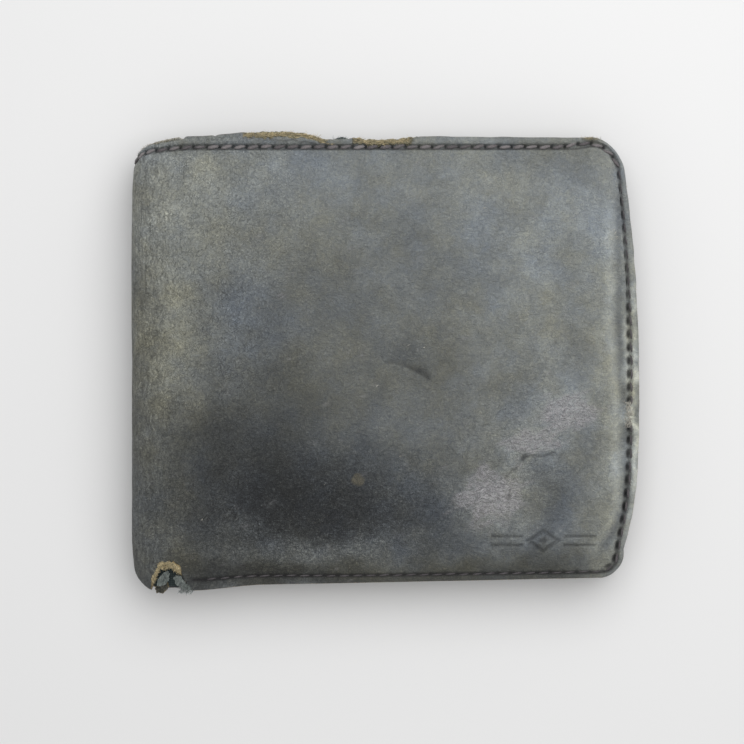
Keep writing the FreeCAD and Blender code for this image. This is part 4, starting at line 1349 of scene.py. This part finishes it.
def ring_sheet(name, outside, inside, z0, z1, across=8, edge_rings=3, bulge=0.7):
    """A flat closed frame between two loops of the same number of places."""
    count = len(outside)
    share = smooth(np.linspace(0, 1, across + 1)) * 0.5 + np.linspace(0, 1, across + 1) * 0.5
    flat = outside[None] * (1 - share)[:, None, None] + inside[None] * share[:, None, None]
    middle, half = (z0 + z1) / 2, (z1 - z0) / 2
    bow = 0.02 * noise(flat[..., 0], flat[..., 1], 8.0, 95)
    upper = np.concatenate([flat, (z1 + bow)[..., None]], 2)
    lower = np.concatenate([flat, (z0 + bow)[..., None]], 2)
    turns = np.linspace(0, math.pi, edge_rings + 2)[1:-1]

    def rounded(loop, neighbour, angles):
        out = loop - neighbour
        out /= np.linalg.norm(out, axis=1, keepdims=True)
        rings = []
        for t in angles:
            z = np.full((count, 1), middle + half * math.cos(t))
            rings.append(np.concatenate([loop + out * half * bulge * math.sin(t), z], 1))
        return rings

    layers = [
        *upper, *rounded(inside, flat[-2], turns), *lower[::-1], *rounded(outside, flat[1], turns[::-1])
    ]
    a = np.arange(len(layers) * count).reshape(len(layers), count)
    b = np.roll(a, -1, 0)
    points = np.concatenate(layers)
    edge = np.zeros((len(layers), count))
    edge[across + 1:across + 1 + edge_rings] = 1
    edge[-edge_rings:] = 1
    faces = quads(a, b, np.roll(b, -1, 1), np.roll(a, -1, 1))
    return make_mesh(name, points, faces, edge=edge.ravel(), rest=points)


def wing_sheet(name, node, material, slot_name, radius, cells=26):
    """A thin sheet that fills its CAD node's box, with round corners."""
    low, high = box_mm(node)
    x, y = (np.linspace(low[k], high[k], cells) for k in (0, 1))
    x, y = np.meshgrid(x, y, indexing="ij")
    for sign_x, line_x in ((-1, low[0]), (1, high[0])):
        corners = ((-1, low[1], radius), (1, high[1], radius))
        turned, y = round_corners(sign_x * x, y, sign_x * line_x, corners)
        x = sign_x * turned
    wave = 0.012 * noise(x, y, 12.0, 97)
    top, bottom = np.stack([x, y, high[2] + wave], -1), np.stack([x, y, low[2] + wave], -1)
    place(closed_sheet(name, top, bottom, 1, 0.5), material, slot_name, "wing", node)


for half in ("front", "back"):
    low, high = box_mm(f"wing_{half}_frame")
    hole_low, hole_high = box_mm(f"wing_{half}_window")
    outside = even_loop(low[:2], high[:2], 5.0, 320)
    inside = even_loop(hole_low[:2] + 2.0, hole_high[:2] - 2.0, 3.0, 320)
    piece = ring_sheet(f"wing_frame_{half}", outside, inside, low[2], high[2])
    place(piece, INNER, "panel_leather", "wing", f"wing_{half}_frame")
    wing_sheet(f"wing_window_{half}", f"wing_{half}_window", FILM, "clear_film", 1.5)
    loop = even_loop(low[:2] + 1.7, high[:2] - 1.7, 3.4, 132)
    face = high[2] if half == "front" else THICK - low[2]
    piece = stitches(
        f"wing_stitches_{half}", list(zip(loop, np.roll(loop, -1, 0))),
        lambda x, y, lift: on_half(np.stack([x, y, face + lift], -1), half), 25, 0.22, 0.14, 0.06, 0.14,
    )
    place(piece, INNER_THREAD, "thread", "wing", f"wing_{half}_thread")

wing_sheet("wing_core", "wing_core_cloth", POCKET, "pocket_cloth", 4.0)
wing_sheet("wing_hinge", "wing_hinge_strip", INNER, "panel_leather", 0.6)


# ---------------------------------------------------------------- stage, light and camera

CAMERA_PLACE = (-0.0028, -0.00194, 0.5086)
LAMP_PLACE = (0.09, 0.16, 0.42)


def add_to_scene(name, data, place=(0, 0, 0)):
    made = bpy.data.objects.new(name, data)
    made.location = place
    bpy.context.scene.collection.objects.link(made)
    return made


def build_stage(reach=1.6, drop=0.0003):
    mesh = bpy.data.meshes.new("floor")
    corners = [(-reach, -reach, 0), (reach, -reach, 0), (reach, reach, 0), (-reach, reach, 0)]
    mesh.from_pydata(corners, [], [(0, 1, 2, 3)])
    mesh.materials.append(Nodes("pale_floor").finish((0.80, 0.80, 0.80), 0.75, Specular_IOR_Level=0.15))
    add_to_scene("floor", mesh, (0, 0, -drop))


def light_and_camera():
    scene = bpy.context.scene
    scene.world = bpy.data.worlds.new("soft_room")
    scene.world.use_nodes = True
    background = scene.world.node_tree.nodes["Background"].inputs
    background["Color"].default_value = (1, 1, 1, 1)
    background["Strength"].default_value = 0.52
    light = bpy.data.lights.new("window", "AREA")
    light.shape = "DISK"
    light.size = 0.6
    light.energy = 1.77
    lamp = add_to_scene("window", light, LAMP_PLACE)
    lamp.rotation_euler = Vector(LAMP_PLACE).to_track_quat("Z", "Y").to_euler()
    lamp.visible_camera = False
    lens = bpy.data.cameras.new("camera")
    lens.lens = 112
    lens.sensor_width = 36
    lens.clip_start = 0.01
    scene.camera = add_to_scene("camera", lens, CAMERA_PLACE)
    scene.view_settings.view_transform = "Standard"
    scene.view_settings.look = "None"


build_stage()
light_and_camera()
